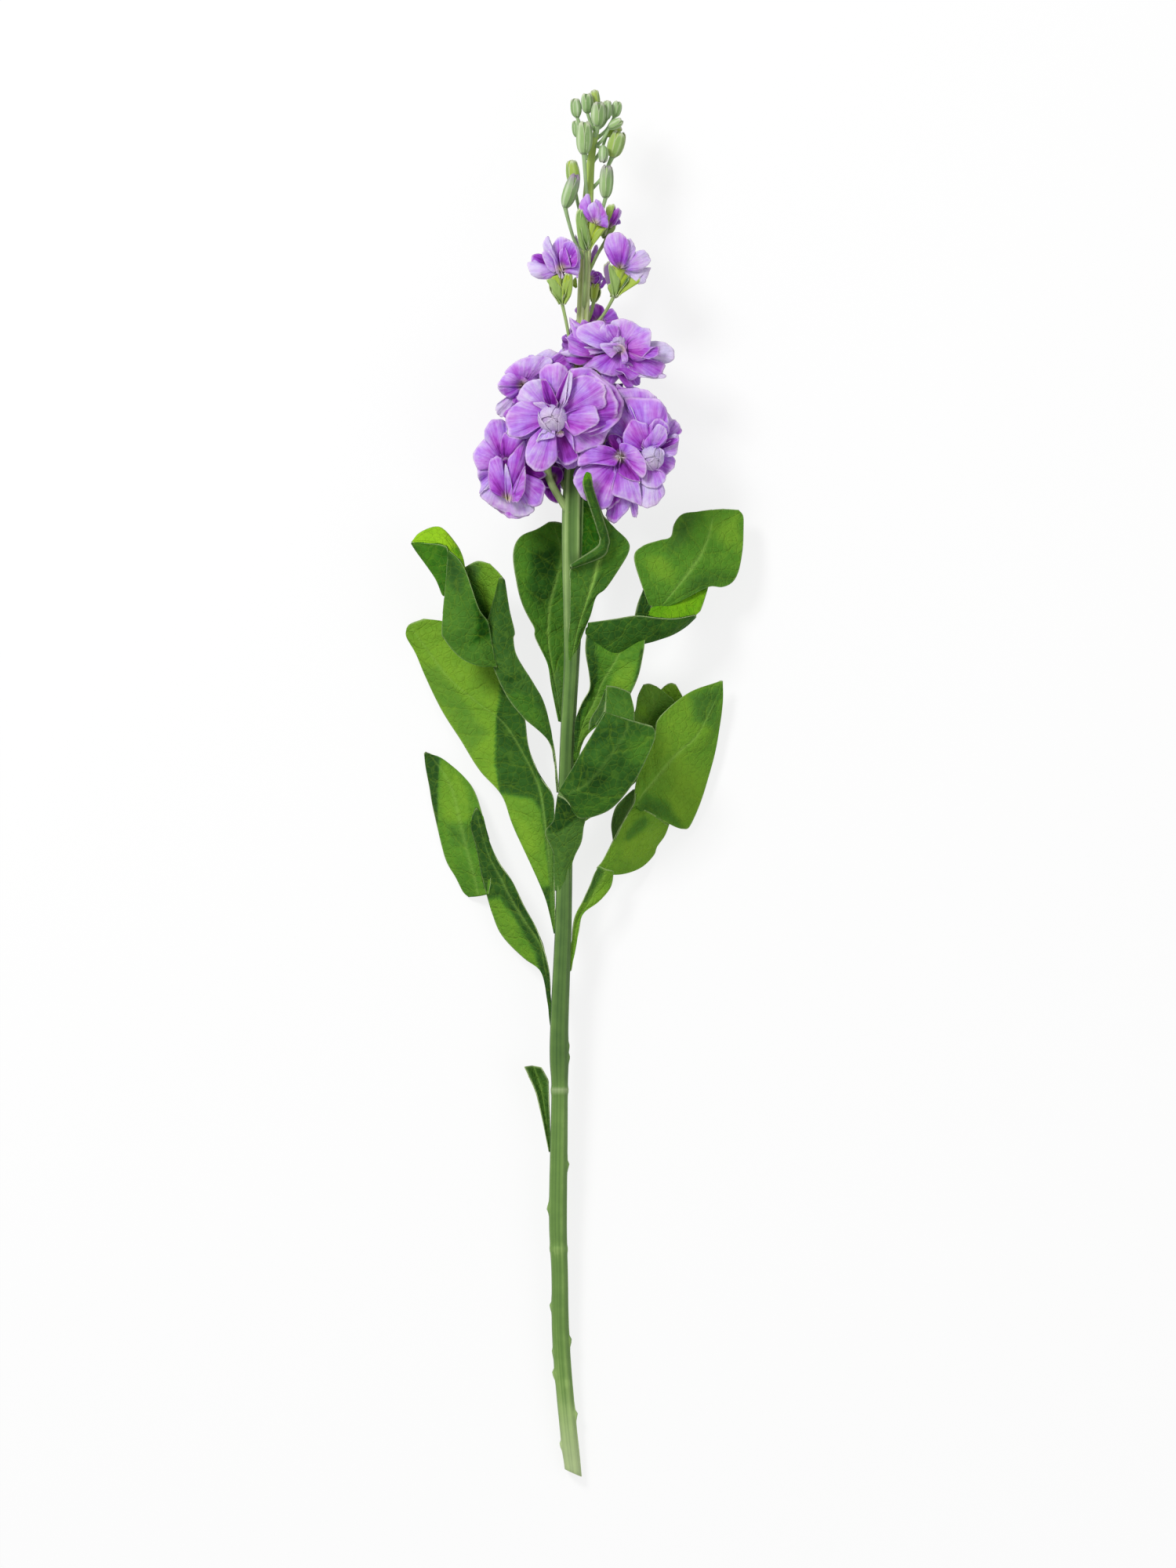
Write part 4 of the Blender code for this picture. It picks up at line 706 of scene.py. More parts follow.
  (48, 2.4, -1.2, 0.62, 0.4, 18.5,185, 19,181.5, 23.5,181, 21.5,178, 16.5,177, 12,178, 8,180, 3.5,181,
   6,184.5, 14,186.5),
  (45.5, 1.6, -0.8, 0.56, 0.4, 16.5,182.5, 12,178.5, 12,175.5, 15.5,172.5, 20,178, 19,181.5),
  (47.6, 1.4, 0.4, 0.92, 0.4, 13.5,189, 9,189, 3.5,189.5, -6,187, -1.5,185, 3,185.5, 7,186.5, 12,188),
  )),
  ),
  "top_back": (
  ((10.7, 200.6, 27), (
  (29, 1.8, -1, 0.56, 0.4, 8,198.5, 7,201, 6,205, 7,208, 10,208.5, 12.5,207, 13.5,202, 12.5,199),
  (31, 1.8, -1, 0.72, 0.4, 11.5,198.5, 13.5,203, 14,205.5, 16.5,206.5, 18.5,203.5, 18.5,201, 15.5,198.5),
  (28, 1.4, -0.8, 0.34, 0.3, 5.5,198.5, 3,202.5, 0.5,205, 0.5,207, 3,206.5, 6,204, 9,200),
  )),
  ),
}
# The same for the half-open flowers
OPENING_PETALS = {
  "left": (
  ((-6.0, 223.2, 46), (
  (52, 2.4, -1.4, 1, 0.3, -8.4,220.6, -11.9,218.9, -16.3,219.2, -18.9,221.2, -20.2,226, -15.8,225.8,
   -10.7,223.5, -8.8,221.9),
  (49, 1.4, 0.8, 0.28, 0.2, -11.9,224, -15.4,225.5, -18.6,226.2, -17.7,229.6, -14.1,229.6, -13,227.5,
   -11.1,224.7),
  (54, 1.6, -0.8, 0.96, 0.2, -9.1,221.5, -11.9,223.8, -14.1,229.3, -13.2,231.2, -13.7,234.7, -11.3,237.5,
   -12.2,231.5, -10.6,230.8, -9.1,227.3, -7.7,221.1),
  (50, 2.2, -1.2, 0.76, 0.4, -8.4,223.9, -10.7,228.6, -10.7,231.3, -7.6,236.4, -5.3,236.9, -1.2,234.4,
   -2.9,227, -5.3,223.9),
  (53, 2.4, -1.2, 0.84, 0.3, -4.9,221.9, -6.6,228.5, -6,231.2, -3.7,233.2, -2.9,234.7, 1.1,232.8, 2.3,225.8,
   2.1,221.9, 1,220.4, -1.4,221.1, -3.3,221.1),
  (55, 1.2, 0.8, 0.52, 0.2, -1.4,223.8, -3.5,231.2, -4.5,234.7, -1.4,235.1, 0.6,232.8, 1.4,229.2, 1.1,225.6,
   0.2,223.8),
  (47, 0.6, 0.4, 0.06, 0.1, -7.6,220.1, -9.2,224.8, -8.8,227.5, -7.2,227.9, -4.3,220.3, -5.3,219.3),
  (51.5, 0.5, 0.3, 1.26, 0.1, -6.4,219.2, -8,223.1, -8.1,224.7, -7.2,224.4, -4.9,220.2, -5.6,218.8),
  (47.5, 2, -1.2, 0.66, 0.3, -4.5,221.7, 0.2,223.2, 2.5,227.1, 2.1,231, 0.2,233.3, -2.9,233.3, -5.3,231),
  )),
  ),
  "right": (
  ((19.7, 223.3, 45), (
  (53, 3.2, -1.6, 0.68, 0.15, 17.5,224.3, 15,227, 12.6,233.2, 15,238.2, 20.5,238.4, 23.6,234, 22.8,227.4,
   21.2,224.2),
  (51, 2, -1, 1, 0.2, 21.2,223.9, 23.2,231.3, 23,236, 24.7,235.7, 26,233.2, 26,230.1, 23.2,224.4),
  (50, 2.4, -1.4, 1, 0.3, 23,223.9, 24.7,228.6, 26.7,230.7, 29.8,231.3, 31.8,229.8, 32.7,227.4, 31.8,225.1,
   27.2,222.1, 23.5,223.2),
  (47, 1.2, 0.4, 1.16, 0.2, 26.7,217.8, 32.6,223.9, 31,218.5, 29.5,216.9, 27.6,216.9),
  (46, 1.8, -1, 0.56, 0.3, 18.1,224.8, 14.6,228.7, 13.8,233.4, 15.8,236.5, 22,236.5, 24.3,232.6, 23.9,227.9,
   21.6,224.8),
  )),
  ),
  "front": (
  ((8.8, 242.6, 50), (
  (52.5, 2.2, -1.2, 0.71, 0.3, 6,243.9, 1.9,249.5, 4.1,254.6, 6,255.5, 6.7,253.8, 7.6,248.8, 7.6,245.3),
  (55.5, 2.4, -1.6, 0.98, 0.1, 9,243, 5.8,248.3, 6.2,250.6, 9.1,251.8, 11.3,246.7, 11.3,243.9, 10.5,243),
  (54.5, 1.8, -1, 0.78, 0.15, 11.9,242.5, 9.5,250.3, 8.8,252.6, 9.9,253.1, 11.9,251, 14.3,244.4, 14.4,241.1,
   13,241.3),
  (51, 1, 0.6, 0.26, 0.2, 9.5,243.4, 9.9,248, 8.8,252.7, 10.3,252.3, 12.3,248, 12.6,243),
  )),
  ),
  "small_right": (
  ((14.6, 241.0, 39), (
  (43, 1.8, -1, 0.52, 0.2, 13.7,241.2, 14.2,244.4, 18.1,249.4, 19.3,249.2, 18.9,246.7, 17.7,243.6,
   15.8,241.2),
  (42, 1.6, -0.8, 1, 0.2, 15.8,241.7, 17.7,245.2, 18.1,248.7, 19.3,249.6, 20.2,247.3, 17.5,242.6),
  (41, 1.4, -0.6, 0.71, 0.2, 14.2,242.1, 14.2,246.8, 16.6,251, 17.7,250.1, 16.9,247.1, 15.8,243.6),
  )),
  ),
  "behind": (
  ((6.0, 219.4, 30), (
  (29, 1.6, -1, 0.56, 0.2, 7.4,216, 7.3,219.8, 8.2,222.1, 9.9,222.6, 11.7,221.7, 11.8,219.8, 8.8,216.7),
  (32, 1.4, -0.8, 0.68, 0.2, 7.2,225.5, 6.9,229.1, 9.2,234.2, 10.1,232.2, 8,226.3),
  (41, 0.8, 0.3, 1.16, 0.1, 2.5,231.2, 0.2,235.5, 0.5,238, 2.3,233.5),
  )),
  ),
}
# The half-open flowers' sepals, with how lime and how purple each is in place of tone and ruffle
OPENING_SEPALS = {
  "left": (
  ((-5.6, 207.9, 45), (
  (51, 2, -1.2, 0.15, 0, -5.8,207.9, -7.6,211.1, -9.5,212.9, -10.1,215.9, -12.3,218.8, -9.1,219.5,
   -7.4,216.8, -5.6,214.2, -5.3,210.3),
  (50, 0.8, 0.4, 1, 0, -6,211.5, -9.3,218.9, -7.2,218.9, -5.6,215.4, -5.3,212.3),
  (51.5, 2, -1.2, 0.45, 0, -5.3,207.9, -4.9,212.2, -5.3,215.7, -4.4,220.4, -2.9,221.6, -0.9,220.8, -1.3,213,
   -3.9,207.9),
  (52, 1, 0.4, 1, 0, -4.9,211.4, -4.8,216.1, -3.9,220.4, -2.9,221.3, -2,219.6, -4.1,212.2),
  (48.5, 1.2, 0.5, 0.9, 0, -6.4,209.2, -8,217.7, -7.2,219.9, -4.7,219.9, -4.5,217, -5.5,209.6),
  )),
  ),
  "right": (
  ((17.5, 210.9, 41), (
  (47, 2, -1.2, 0.05, 0, 16.5,211.5, 15.2,220.1, 14.8,225.2, 16.5,224.2, 18.5,220.9, 19.4,217.4,
   17.9,211.9),
  (44.5, 1.6, -1, 0.05, 0.85, 15.4,212.8, 12.6,222.5, 13.6,225.9, 15.1,226.4, 14.3,220.2, 16.5,214.7),
  (46, 1.4, -0.6, 1, 0, 18.1,212.3, 16.9,221.7, 16.6,225.2, 19.3,225.4, 22,224.3, 25.3,224.5, 24.3,221.3,
   20.1,214.7),
  (47.5, 1.6, -0.8, 0.75, 0, 18.5,211.9, 24.3,220.8, 27.1,221.4, 28.4,218.5, 27.1,216.9, 23.2,215.7,
   19.7,211.9),
  (45, 1.8, -1, 0.3, 0, 16.5,211.2, 14.4,215.1, 15.4,217, 20.8,215.9, 20.4,213.1, 18.5,211),
  (48.4, 0.3, 0.2, -0.5, 0, 22,217.7, 23.6,220.7, 23.4,218.5, 22.6,217.5),
  )),
  ),
  "front": (
  ((5.4, 231.1, 45.5), (
  (52, 2.2, -1.4, -0.1, 0, 4.6,230.9, 2.1,233.2, 0.7,242.9, 0.8,246.8, 2.1,249.8, 3.9,249.2, 5.5,241.8,
   6.9,234.8, 6,231.7),
  (52.8, 0.6, -0.4, -0.3, 0, 5.3,232.4, 3.4,237.1, 2.5,247.2, 3.3,248.8, 4.1,246.8, 6.1,234),
  (49.5, 1.8, -0.8, 1, 0, 6,231.3, 6,236.4, 5.6,243.8, 11.1,243.6, 13.8,241.5, 11.5,238.3, 8,233.7,
   6.8,231.3),
  (51, 1.4, -0.6, 0.6, 0, 6.4,231.3, 8.8,238.3, 11.5,241, 13.8,241.7, 12.6,239.5, 8.4,234, 7,231.3),
  )),
  ),
  "small_right": (
  ((12.7, 236.7, 37.5), (
  (41, 1.8, -1, 0.1, 0, 12.3,236.6, 11.5,238.2, 12.7,240.1, 14.6,240.9, 17.5,242.5, 17.1,240.1,
   13.2,236.6),
  (43.5, 1.2, -0.6, 0.3, 0, 13.6,239.7, 14.2,244.3, 13.7,249, 14.5,251, 16.6,251.4, 17.3,250.4, 15.8,247.5,
   14.2,240.1),
  )),
  ),
  "behind": (
  ((0.6, 215.4, 31), (
  (33, 1.4, -0.6, 0.6, 0, 0.6,215.4, -0.9,216.6, -0.6,218.9, 0.6,219.7, 1.1,215.8),
  )),
  ),
}


def as_share(value: np.ndarray) -> np.ndarray:
    """The value, kept between 0 and 1."""
    return np.clip(value, 0.0, 1.0)


def unit(vector: np.ndarray) -> np.ndarray:
    """The vector at length one."""
    return vector / max(float(np.linalg.norm(vector)), 1e-9)


def fade(low: float, high: float, value: np.ndarray) -> np.ndarray:
    """A smooth step from 0 at low to 1 at high."""
    t = as_share((value - low) / (high - low))
    return t * t * (3.0 - 2.0 * t)


def smooth_curve(points: np.ndarray, position: np.ndarray) -> np.ndarray:
    """Reads the smooth curve through points.

    Args:
        points: The points, one row each. Further axes are carried along.
        position: Where to read it, counted in points from 0.

    Returns:
        One row for each position.
    """
    padded = np.concatenate([2 * points[:1] - points[1:2], points, 2 * points[-1:] - points[-2:-1]])
    low = np.clip(np.floor(position).astype(int), 0, len(points) - 2)
    t = (position - low).reshape((-1,) + (1,) * (points.ndim - 1))
    a, b, c, d = (padded[low + k] for k in range(4))
    return 0.5 * (2 * b + (c - a) * t + (2 * a - 5 * b + 4 * c - d) * t**2 + (3 * b - a - 3 * c + d) * t**3)


def spread(points: np.ndarray, count: int) -> np.ndarray:
    """Reads count points at even steps along the smooth curve through points."""
    return smooth_curve(points, np.linspace(0.0, len(points) - 1.0, count))


def ripple(seed: float, *coordinates: np.ndarray) -> np.ndarray:
    """A gentle irregular wave.

    Args:
        seed: Which of many such waves.
        coordinates: What it runs over.

    Returns:
        The wave, between about -1 and 1.
    """
    total = np.zeros(np.broadcast_shapes(*(np.shape(c) for c in coordinates)))
    for k, rate in enumerate((1.0, 1.7, 2.6)):
        angle = sum(c * rate * math.cos(seed + 2.1 * k + 1.3 * n) for n, c in enumerate(coordinates))
        total = total + np.sin(angle * 2.0 + seed * (k + 1.0)) / (k + 1.3)
    return total / 1.6


def normals_of(surface: np.ndarray) -> np.ndarray:
    """The unit normals of a surface.

    Args:
        surface: A grid of points.

    Returns:
        The normal at each of them.
    """
    along = np.gradient(surface, axis=0)
    across = np.gradient(surface, axis=1)
    out = np.cross(across, along)
    return out / np.maximum(np.linalg.norm(out, axis=-1, keepdims=True), 1e-9)


def above_floor(surface: np.ndarray, room: float = FLOOR_ROOM) -> np.ndarray:
    """Lifts what would lie under the surface that the stem rests on, and presses it flat.

    Args:
        surface: The points.
        room: How near they may come to it.

    Returns:
        The points, with their heights changed.
    """
    lifted = surface.copy()
    z = surface[..., 2] - room
    pressed = PRESSED_DEPTH * np.exp(np.minimum(z / PRESSED_DEPTH - 1.0, 0.0))
    lifted[..., 2] = room + np.where(z > PRESSED_DEPTH, z, pressed)
    return lifted


def sheet_grid(columns: int, rows: int) -> tuple[np.ndarray, np.ndarray]:
    """The places across a sheet, from -1 to 1, and along it, from 0 to 1."""
    return np.linspace(-1.0, 1.0, columns)[None, :], np.linspace(0.0, 1.0, rows)[:, None]


# ---------------------------------------------------------------- modelling


def select(*pieces: Piece) -> None:
    """Selects these pieces alone and makes the first one active.

    Args:
        pieces: What the next operator acts on, or none before a new primitive.
    """
    bpy.ops.object.select_all(action="DESELECT")
    for piece in pieces:
        piece.select_set(True)
    if pieces:
        bpy.context.view_layer.objects.active = pieces[0]


def points_of(piece: Piece) -> np.ndarray:
    """The points of a piece's mesh.

    Args:
        piece: The piece.

    Returns:
        One row for each point, in metres.
    """
    flat = np.zeros(len(piece.data.vertices) * 3)
    piece.data.vertices.foreach_get("co", flat)
    return flat.reshape(-1, 3)


def grid_piece(name: str, surface: np.ndarray, marks: dict[str, np.ndarray]) -> Piece:
    """Adds a grid and shapes it to a surface.

    Args:
        name: The new object's name.
        surface: Its points in millimetres, as rows along it and columns across it.
        marks: Values to keep at each point, by name, for its material.

    Returns:
        The object, with its own UV map: across in U and along in V.
    """
    rows, columns = surface.shape[0] - 1, surface.shape[1] - 1
    select()
    bpy.ops.mesh.primitive_grid_add(x_subdivisions=columns, y_subdivisions=rows, size=2.0)
    piece = bpy.context.object
    piece.name = name
    mesh = piece.data
    flat = points_of(piece)
    column = np.rint((flat[:, 0] + 1.0) / 2.0 * columns).astype(int)
    row = np.rint((flat[:, 1] + 1.0) / 2.0 * rows).astype(int)
    mesh.vertices.foreach_set("co", (surface[row, column] * MM).ravel())
    for mark, values in marks.items():
        layer = mesh.attributes.new(mark, "FLOAT", "POINT")
        layer.data.foreach_set("value", np.broadcast_to(values, surface.shape[:2])[row, column].ravel())
    mesh.update()
    return piece


def thicken(piece: Piece, thickness: float, sides: int = 0) -> None:
    """Gives a sheet its thickness.

    Args:
        piece: The sheet.
        thickness: Its thickness in millimetres.
        sides: 1 if its underside and its rim have materials of their own.
    """
    wall = piece.modifiers.new("thickness", "SOLIDIFY")
    wall.thickness = thickness * MM
    wall.offset = 0.0
    wall.material_offset = sides
    wall.material_offset_rim = 2 * sides
    select(piece)
    bpy.ops.object.modifier_apply(modifier=wall.name)


def close_tube(piece: Piece) -> None:
    """Joins a rolled-up grid along its seam and at its ends, facing outwards.

    Args:
        piece: The grid.
    """
    select(piece)
    bpy.ops.object.mode_set(mode="EDIT")
    bpy.ops.mesh.select_all(action="SELECT")
    bpy.ops.mesh.remove_doubles(threshold=1e-7)
    bpy.ops.mesh.normals_make_consistent(inside=False)
    bpy.ops.object.mode_set(mode="OBJECT")


def tube_surface(centres: np.ndarray, radii: np.ndarray, sides: int) -> np.ndarray:
    """Rolls a surface round a line of centres.

    Args:
        centres: The line's points.
        radii: The radius at each point, or at each point and side.
        sides: How many faces go round.

    Returns:
        The points, with the first column repeated as the last.
    """
    tangents = np.gradient(centres, axis=0)
    side = np.cross(unit(tangents[0]), (0.0, 1.0, 0.0))
    if np.linalg.norm(side) < 0.3:
        side = np.array((1.0, 0.0, 0.0))
    angles = np.linspace(0.0, math.tau, sides + 1)
    rings = []
    for centre, tangent, radius in zip(centres, tangents, radii):
        ahead = unit(tangent)
        side = unit(side - ahead * float(side @ ahead))
        over = np.cross(side, ahead)
        ring = np.cos(angles)[:, None] * side + np.sin(angles)[:, None] * over
        rings.append(centre + ring * np.reshape(radius, (-1, 1)))
    return np.array(rings)


def join(parts: list[Piece], name: str) -> Piece:
    """Makes one object of several.

    Args:
        parts: The objects.
        name: The name of the whole.

    Returns:
        The whole, which is the first of them.
    """
    select(*parts)
    if len(parts) > 1:
        bpy.ops.object.join()
    parts[0].name = name
    parts[0].data.name = name
    return parts[0]


def settle(piece: Piece, node: str, finishes: list[Material]) -> None:
    """Finishes a piece, puts it in the frame in place of its CAD node, and reports it.

    Args:
        piece: The finished piece.
        node: The CAD node that it stands for.
        finishes: Its materials, in the order of its faces' material numbers.
    """
    numbers = np.zeros(len(piece.data.polygons), np.int32)
    piece.data.polygons.foreach_get("material_index", numbers)
    piece.data.materials.clear()
    for finish in finishes:
        piece.data.materials.append(finish)
    piece.data.polygons.foreach_set("material_index", np.minimum(numbers, len(finishes) - 1))
    select(piece)
    bpy.ops.object.shade_smooth()
    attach(piece, "root")
    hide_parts(node)
    low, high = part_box(node)
    points = points_of(piece)
    off = max(float(np.abs(points.min(0) - low).max()), float(np.abs(points.max(0) - high).max()))
    log.info("%s: %d faces, edges within %.1f mm of its solid's", piece.name, len(numbers), off / MM)


# ---------------------------------------------------------------- materials


def shade(code: str) -> Colour:
    """The linear colour of a hexadecimal code.

    Args:
        code: Two digits for each of red, green and blue.

    Returns:
        Red, green, blue and 1 for opaque.
    """
    parts = [int(code[k : k + 2], 16) / 255.0 for k in (0, 2, 4)]
    linear = [p / 12.92 if p <= 0.04045 else ((p + 0.055) / 1.055) ** 2.4 for p in parts]
    return (linear[0], linear[1], linear[2], 1.0)


class Value:
    """A number socket that Python's operators work on by adding Math nodes."""

    def __init__(self, book: NodeBook, socket: Socket) -> None:
        """Keeps the socket and the book that adds nodes for it."""
        self.book = book
        self.socket = socket

    def __add__(self, other: Value | float) -> Value:
        """This plus other."""
        return self.book.maths("ADD", self, other)

    def __sub__(self, other: Value | float) -> Value:
        """This less other."""
        return self.book.maths("SUBTRACT", self, other)

    def __mul__(self, other: Value | float) -> Value:
        """This times other."""
        return self.book.maths("MULTIPLY", self, other)

    def __rsub__(self, other: float) -> Value:
        """Other less this."""
        return self.book.maths("SUBTRACT", other, self)

    __radd__ = __add__
    __rmul__ = __mul__

    def clamped(self) -> Value:
        """This, kept between 0 and 1."""
        return self.book.maths("ADD", self, 0.0, clamp=True)


class NodeBook:
    """The nodes of a new material or world."""

    def __init__(self, owner: Material | bpy.types.World) -> None:
        """Starts with no nodes.

        Args:
            owner: The material or world.
        """
        owner.use_nodes = True
        self.owner = owner
        self.tree = owner.node_tree
        self.tree.nodes.clear()

    def node(self, kind: str, settings: dict | None = None, values: dict | None = None) -> bpy.types.Node:
        """Adds a node.

        Args:
            kind: Its type.
            settings: Its own settings, and a ramp's stops as (place, colour) pairs.
            values: What its sockets hold or are linked to, by name or number.

        Returns:
            The node.
        """
        made = self.tree.nodes.new(kind)
        for name, setting in (settings or {}).items():
            if name == "stops":
                ramp = made.color_ramp
                while len(ramp.elements) < len(setting):
                    ramp.elements.new(0.5)
                for element, (place, colour) in zip(ramp.elements, setting):
                    element.position = place
                    element.color = colour
            else:
                setattr(made, name, setting)
        for name, value in (values or {}).items():
            if isinstance(value, Value):
                value = value.socket
            if isinstance(value, Socket):
                self.tree.links.new(value, made.inputs[name])
            else:
                made.inputs[name].default_value = value
        return made

    def maths(self, operation: str, a: Value | float, b: Value | float, clamp: bool = False) -> Value:
        """A Math node's result."""
        settings = {"operation": operation, "use_clamp": clamp}
        return Value(self, self.node("ShaderNodeMath", settings, {0: a, 1: b}).outputs[0])

    def mark(self, name: str) -> Value:
        """The value that the mesh keeps under a name."""
        return Value(self, self.node("ShaderNodeAttribute", {"attribute_name": name}).outputs["Fac"])

    def noise(self, scale: float, detail: float, uv_stretch: Row = ()) -> Value:
        """Cloudy noise.

        Args:
            scale: How many clouds go in a metre, or across the UV map.
            detail: How many finer layers it has.
            uv_stretch: How much finer it is along each axis of the UV map. Without it, the noise
                follows the piece's own place instead.

        Returns:
            The noise, from about 0.3 to 0.7.
        """
        source = self.node("ShaderNodeTexCoord").outputs["UV" if uv_stretch else "Object"]
        stretch = uv_stretch or (1.0, 1.0, 1.0)
        placed = self.node("ShaderNodeMapping", None, {"Vector": source, "Scale": stretch})
        values = {"Vector": placed.outputs[0], "Scale": scale, "Detail": detail}
        return Value(self, self.node("ShaderNodeTexNoise", None, values).outputs[0])

    def ramp(self, value: Value, places: Row, codes: tuple[str, ...]) -> Socket:
        """The colour of a ramp at a value."""
        stops = list(zip(places, map(shade, codes)))
        return self.node("ShaderNodeValToRGB", {"stops": stops}, {0: value}).outputs[0]

    def mix(self, share: Value | float, first: Socket | str, second: Socket | str) -> Socket:
        """A mix of two colours.

        Args:
            share: How much of the second there is.
            first: The first colour, or its code.
            second: The second one, or its code.

        Returns:
            The mixed colour.
        """
        settings = {"data_type": "RGBA", "clamp_factor": True}
        first, second = (shade(colour) if isinstance(colour, str) else colour for colour in (first, second))
        return self.node("ShaderNodeMix", settings, {0: share, 6: first, 7: second}).outputs[2]

    def bump(self, height: Value, strength: float, distance: float) -> Socket:
        """The normal of a surface with this height over it; distance is in millimetres."""
        values = {"Height": height, "Strength": strength, "Distance": distance * MM}
        return self.node("ShaderNodeBump", None, values).outputs[0]

    def blend(self, share: Value | float, first: Socket, second: Socket) -> Socket:
        """The first shader, and a share of the second."""
        return self.node("ShaderNodeMixShader", None, {0: share, 1: first, 2: second}).outputs[0]

    def skin(self, colour: Socket, normal: Socket, roughness: Value | float, down: Down) -> Material:
        """Ends the material as a plant's skin.

        Args:
            colour: Its colour.
            normal: Its normal.
            roughness: Its roughness.
            down: Its down, its gloss and the light that it lets through.

        Returns:
            The finished material.
        """
        values = {
            "Base Color": colour, "Normal": normal, "Roughness": roughness, "Specular IOR Level": down.gloss,
            "Sheen Weight": down.sheen, "Sheen Tint": shade(down.tint), "Sheen Roughness": down.softness,
        }
        matt = self.node("ShaderNodeBsdfPrincipled", None, values).outputs[0]
        lit = self.node("ShaderNodeBsdfTranslucent", None, {"Color": shade(down.glow)}).outputs[0]
        self.node("ShaderNodeOutputMaterial", None, {"Surface": self.blend(down.through, matt, lit)})
        return self.owner


@dataclass(frozen=True)
class Down:
    """How downy and glossy a plant's skin is, and the light that comes through it."""

    sheen: float
    tint: str
    glow: str
    through: float
    gloss: float = 0.2
    softness: float = 0.45


class LeafFace(Enum):
    """The three faces of a leaf blade."""

    TOP = "top"
    UNDER = "under"
    RIM = "rim"


@dataclass(frozen=True)
class LeafFinish:
    """A stock leaf's skin: matt and veined, with painted light from its glow mark."""

    places: Row = (0.0, 0.2, 0.6, 1.0)
    # From the green of a leaf in painted shade to one with painted light glowing through it
    greens: tuple[str, ...] = ("12380a", "316a16", "5b9d16", "9ace24")
    vein: str = "a0c836"
    rib: str = "94bf56"
    rim: str = "b9cf92"
    under: str = "557b3a"
    painted_shade_under: str = "2c5022"
    cloud_scale: float = 75.0
    mottle_scale: float = 330.0
    net_scale: float = 330.0
    grain_scale: float = 1500.0
    down: Down = Down(0.0, "dfe8cf", "7fb90c", 0.14, 0.04)

    def build(self, face: LeafFace) -> Material:
        """Builds the material of one face of the blade.

        Args:
            face: Which face.

        Returns:
            The material.
        """
        book = NodeBook(bpy.data.materials.new(f"leaf_{face.value}"))
        clouds = book.noise(self.cloud_scale, 4.0)
        mottle = book.noise(self.mottle_scale, 3.0)
        # Painted light: the glow mark picks the green, darker where shade falls, brighter where light would
        # shine through
        glow = (book.mark("glow") + (clouds - 0.5) * 0.5 + (mottle - 0.5) * 0.3).clamped()
        colour = book.ramp(glow, self.places, self.greens)
        under_grey = 0.5 if face is LeafFace.UNDER else 0.0
        dull = (book.mark("grey") + under_grey + (mottle - 0.5) * 0.2).clamped()
        # The underside's grey-green in painted shade or painted light, after the glow mark
        colour = book.mix(dull, colour, book.mix(glow * 1.6, self.painted_shade_under, self.under))
        cell = book.maths("PINGPONG", book.mark("branch") + (clouds - 0.5) * 0.9, 0.5)
        line = (1.0 - cell * 16.0).clamped() * (1.0 - book.mark("edge")).clamped()
        place = book.node("ShaderNodeTexCoord").outputs["Object"]
        values = {"Vector": place, "Scale": self.net_scale}
        net = book.node("ShaderNodeTexVoronoi", {"feature": "DISTANCE_TO_EDGE"}, values).outputs["Distance"]
        mesh_lines = (1.0 - Value(book, net) * 9.0).clamped()
        colour = book.mix(line * 0.12 + mesh_lines * 0.10, colour, self.vein)
        colour = book.mix(book.mark("rib") * 0.75, colour, self.rib)
        rim_share = 0.85 if face is LeafFace.RIM else 0.6
        colour = book.mix(book.mark("edge") * rim_share, colour, self.rim)
        grain = book.noise(self.grain_scale, 1.0)
        height = mottle * 1.3 + clouds * 1.2 + grain * 0.12 - mesh_lines * 0.25 - line * 0.3
        return book.skin(colour, book.bump(height, 0.85, 0.9), 0.5 + (mottle - 0.5) * 0.2, self.down)


@dataclass(frozen=True)
class PetalFinish:
    """A stock petal: silky lilac with fine veins, a paler rim and a cream claw."""

    name: str = "petal"
    places: Row = (0.0, 0.33, 0.62, 1.0)
    cool: tuple[str, ...] = ("6c1292", "a64edb", "c392f4", "e2d9fa")
    warm: tuple[str, ...] = ("800f8a", "b94ccd", "d38fe9", "ecd7f5")
    claw: str = "e4e49a"
    rim: str = "f8e6fd"
    roughness: float = 0.6
    vein_stretch: Row = (34.0, 2.2, 1.0)
    cloud_scale: float = 260.0
    blush_scale: float = 120.0
    crinkle_scale: float = 420.0
    down: Down = Down(0.05, "efe4fb", "c95aea", 0.2)

    def build(self) -> Material:
        """Builds the material.

        Returns:
            The material.
        """
        book = NodeBook(bpy.data.materials.new(self.name))
        streaks = book.noise(1.0, 3.0, self.vein_stretch)
        clouds = book.noise(self.cloud_scale, 2.0)
        # Painted shade: the tone mark is darker in creases, towards claws, on ruffles and on petals that lie
        # in shade
        tone = (book.mark("tone") + (streaks - 0.5) * 0.7 + (clouds - 0.5) * 0.5).clamped()
        cool, warm = (book.ramp(tone, self.places, codes) for codes in (self.cool, self.warm))
        blush = ((book.noise(self.blush_scale, 2.0) - 0.5) * 2.2 + 0.6 - tone * 0.25).clamped()
        colour = book.mix(blush, cool, warm)
        colour = book.mix(book.mark("claw"), colour, self.claw)
        colour = book.mix(book.mark("rim") * clouds * 0.9, colour, self.rim)
        crinkle = book.noise(self.crinkle_scale, 3.0)
        normal = book.bump(streaks * 1.0 + crinkle * 1.2, 0.7, 0.7)
        return book.skin(colour, normal, self.roughness, self.down)


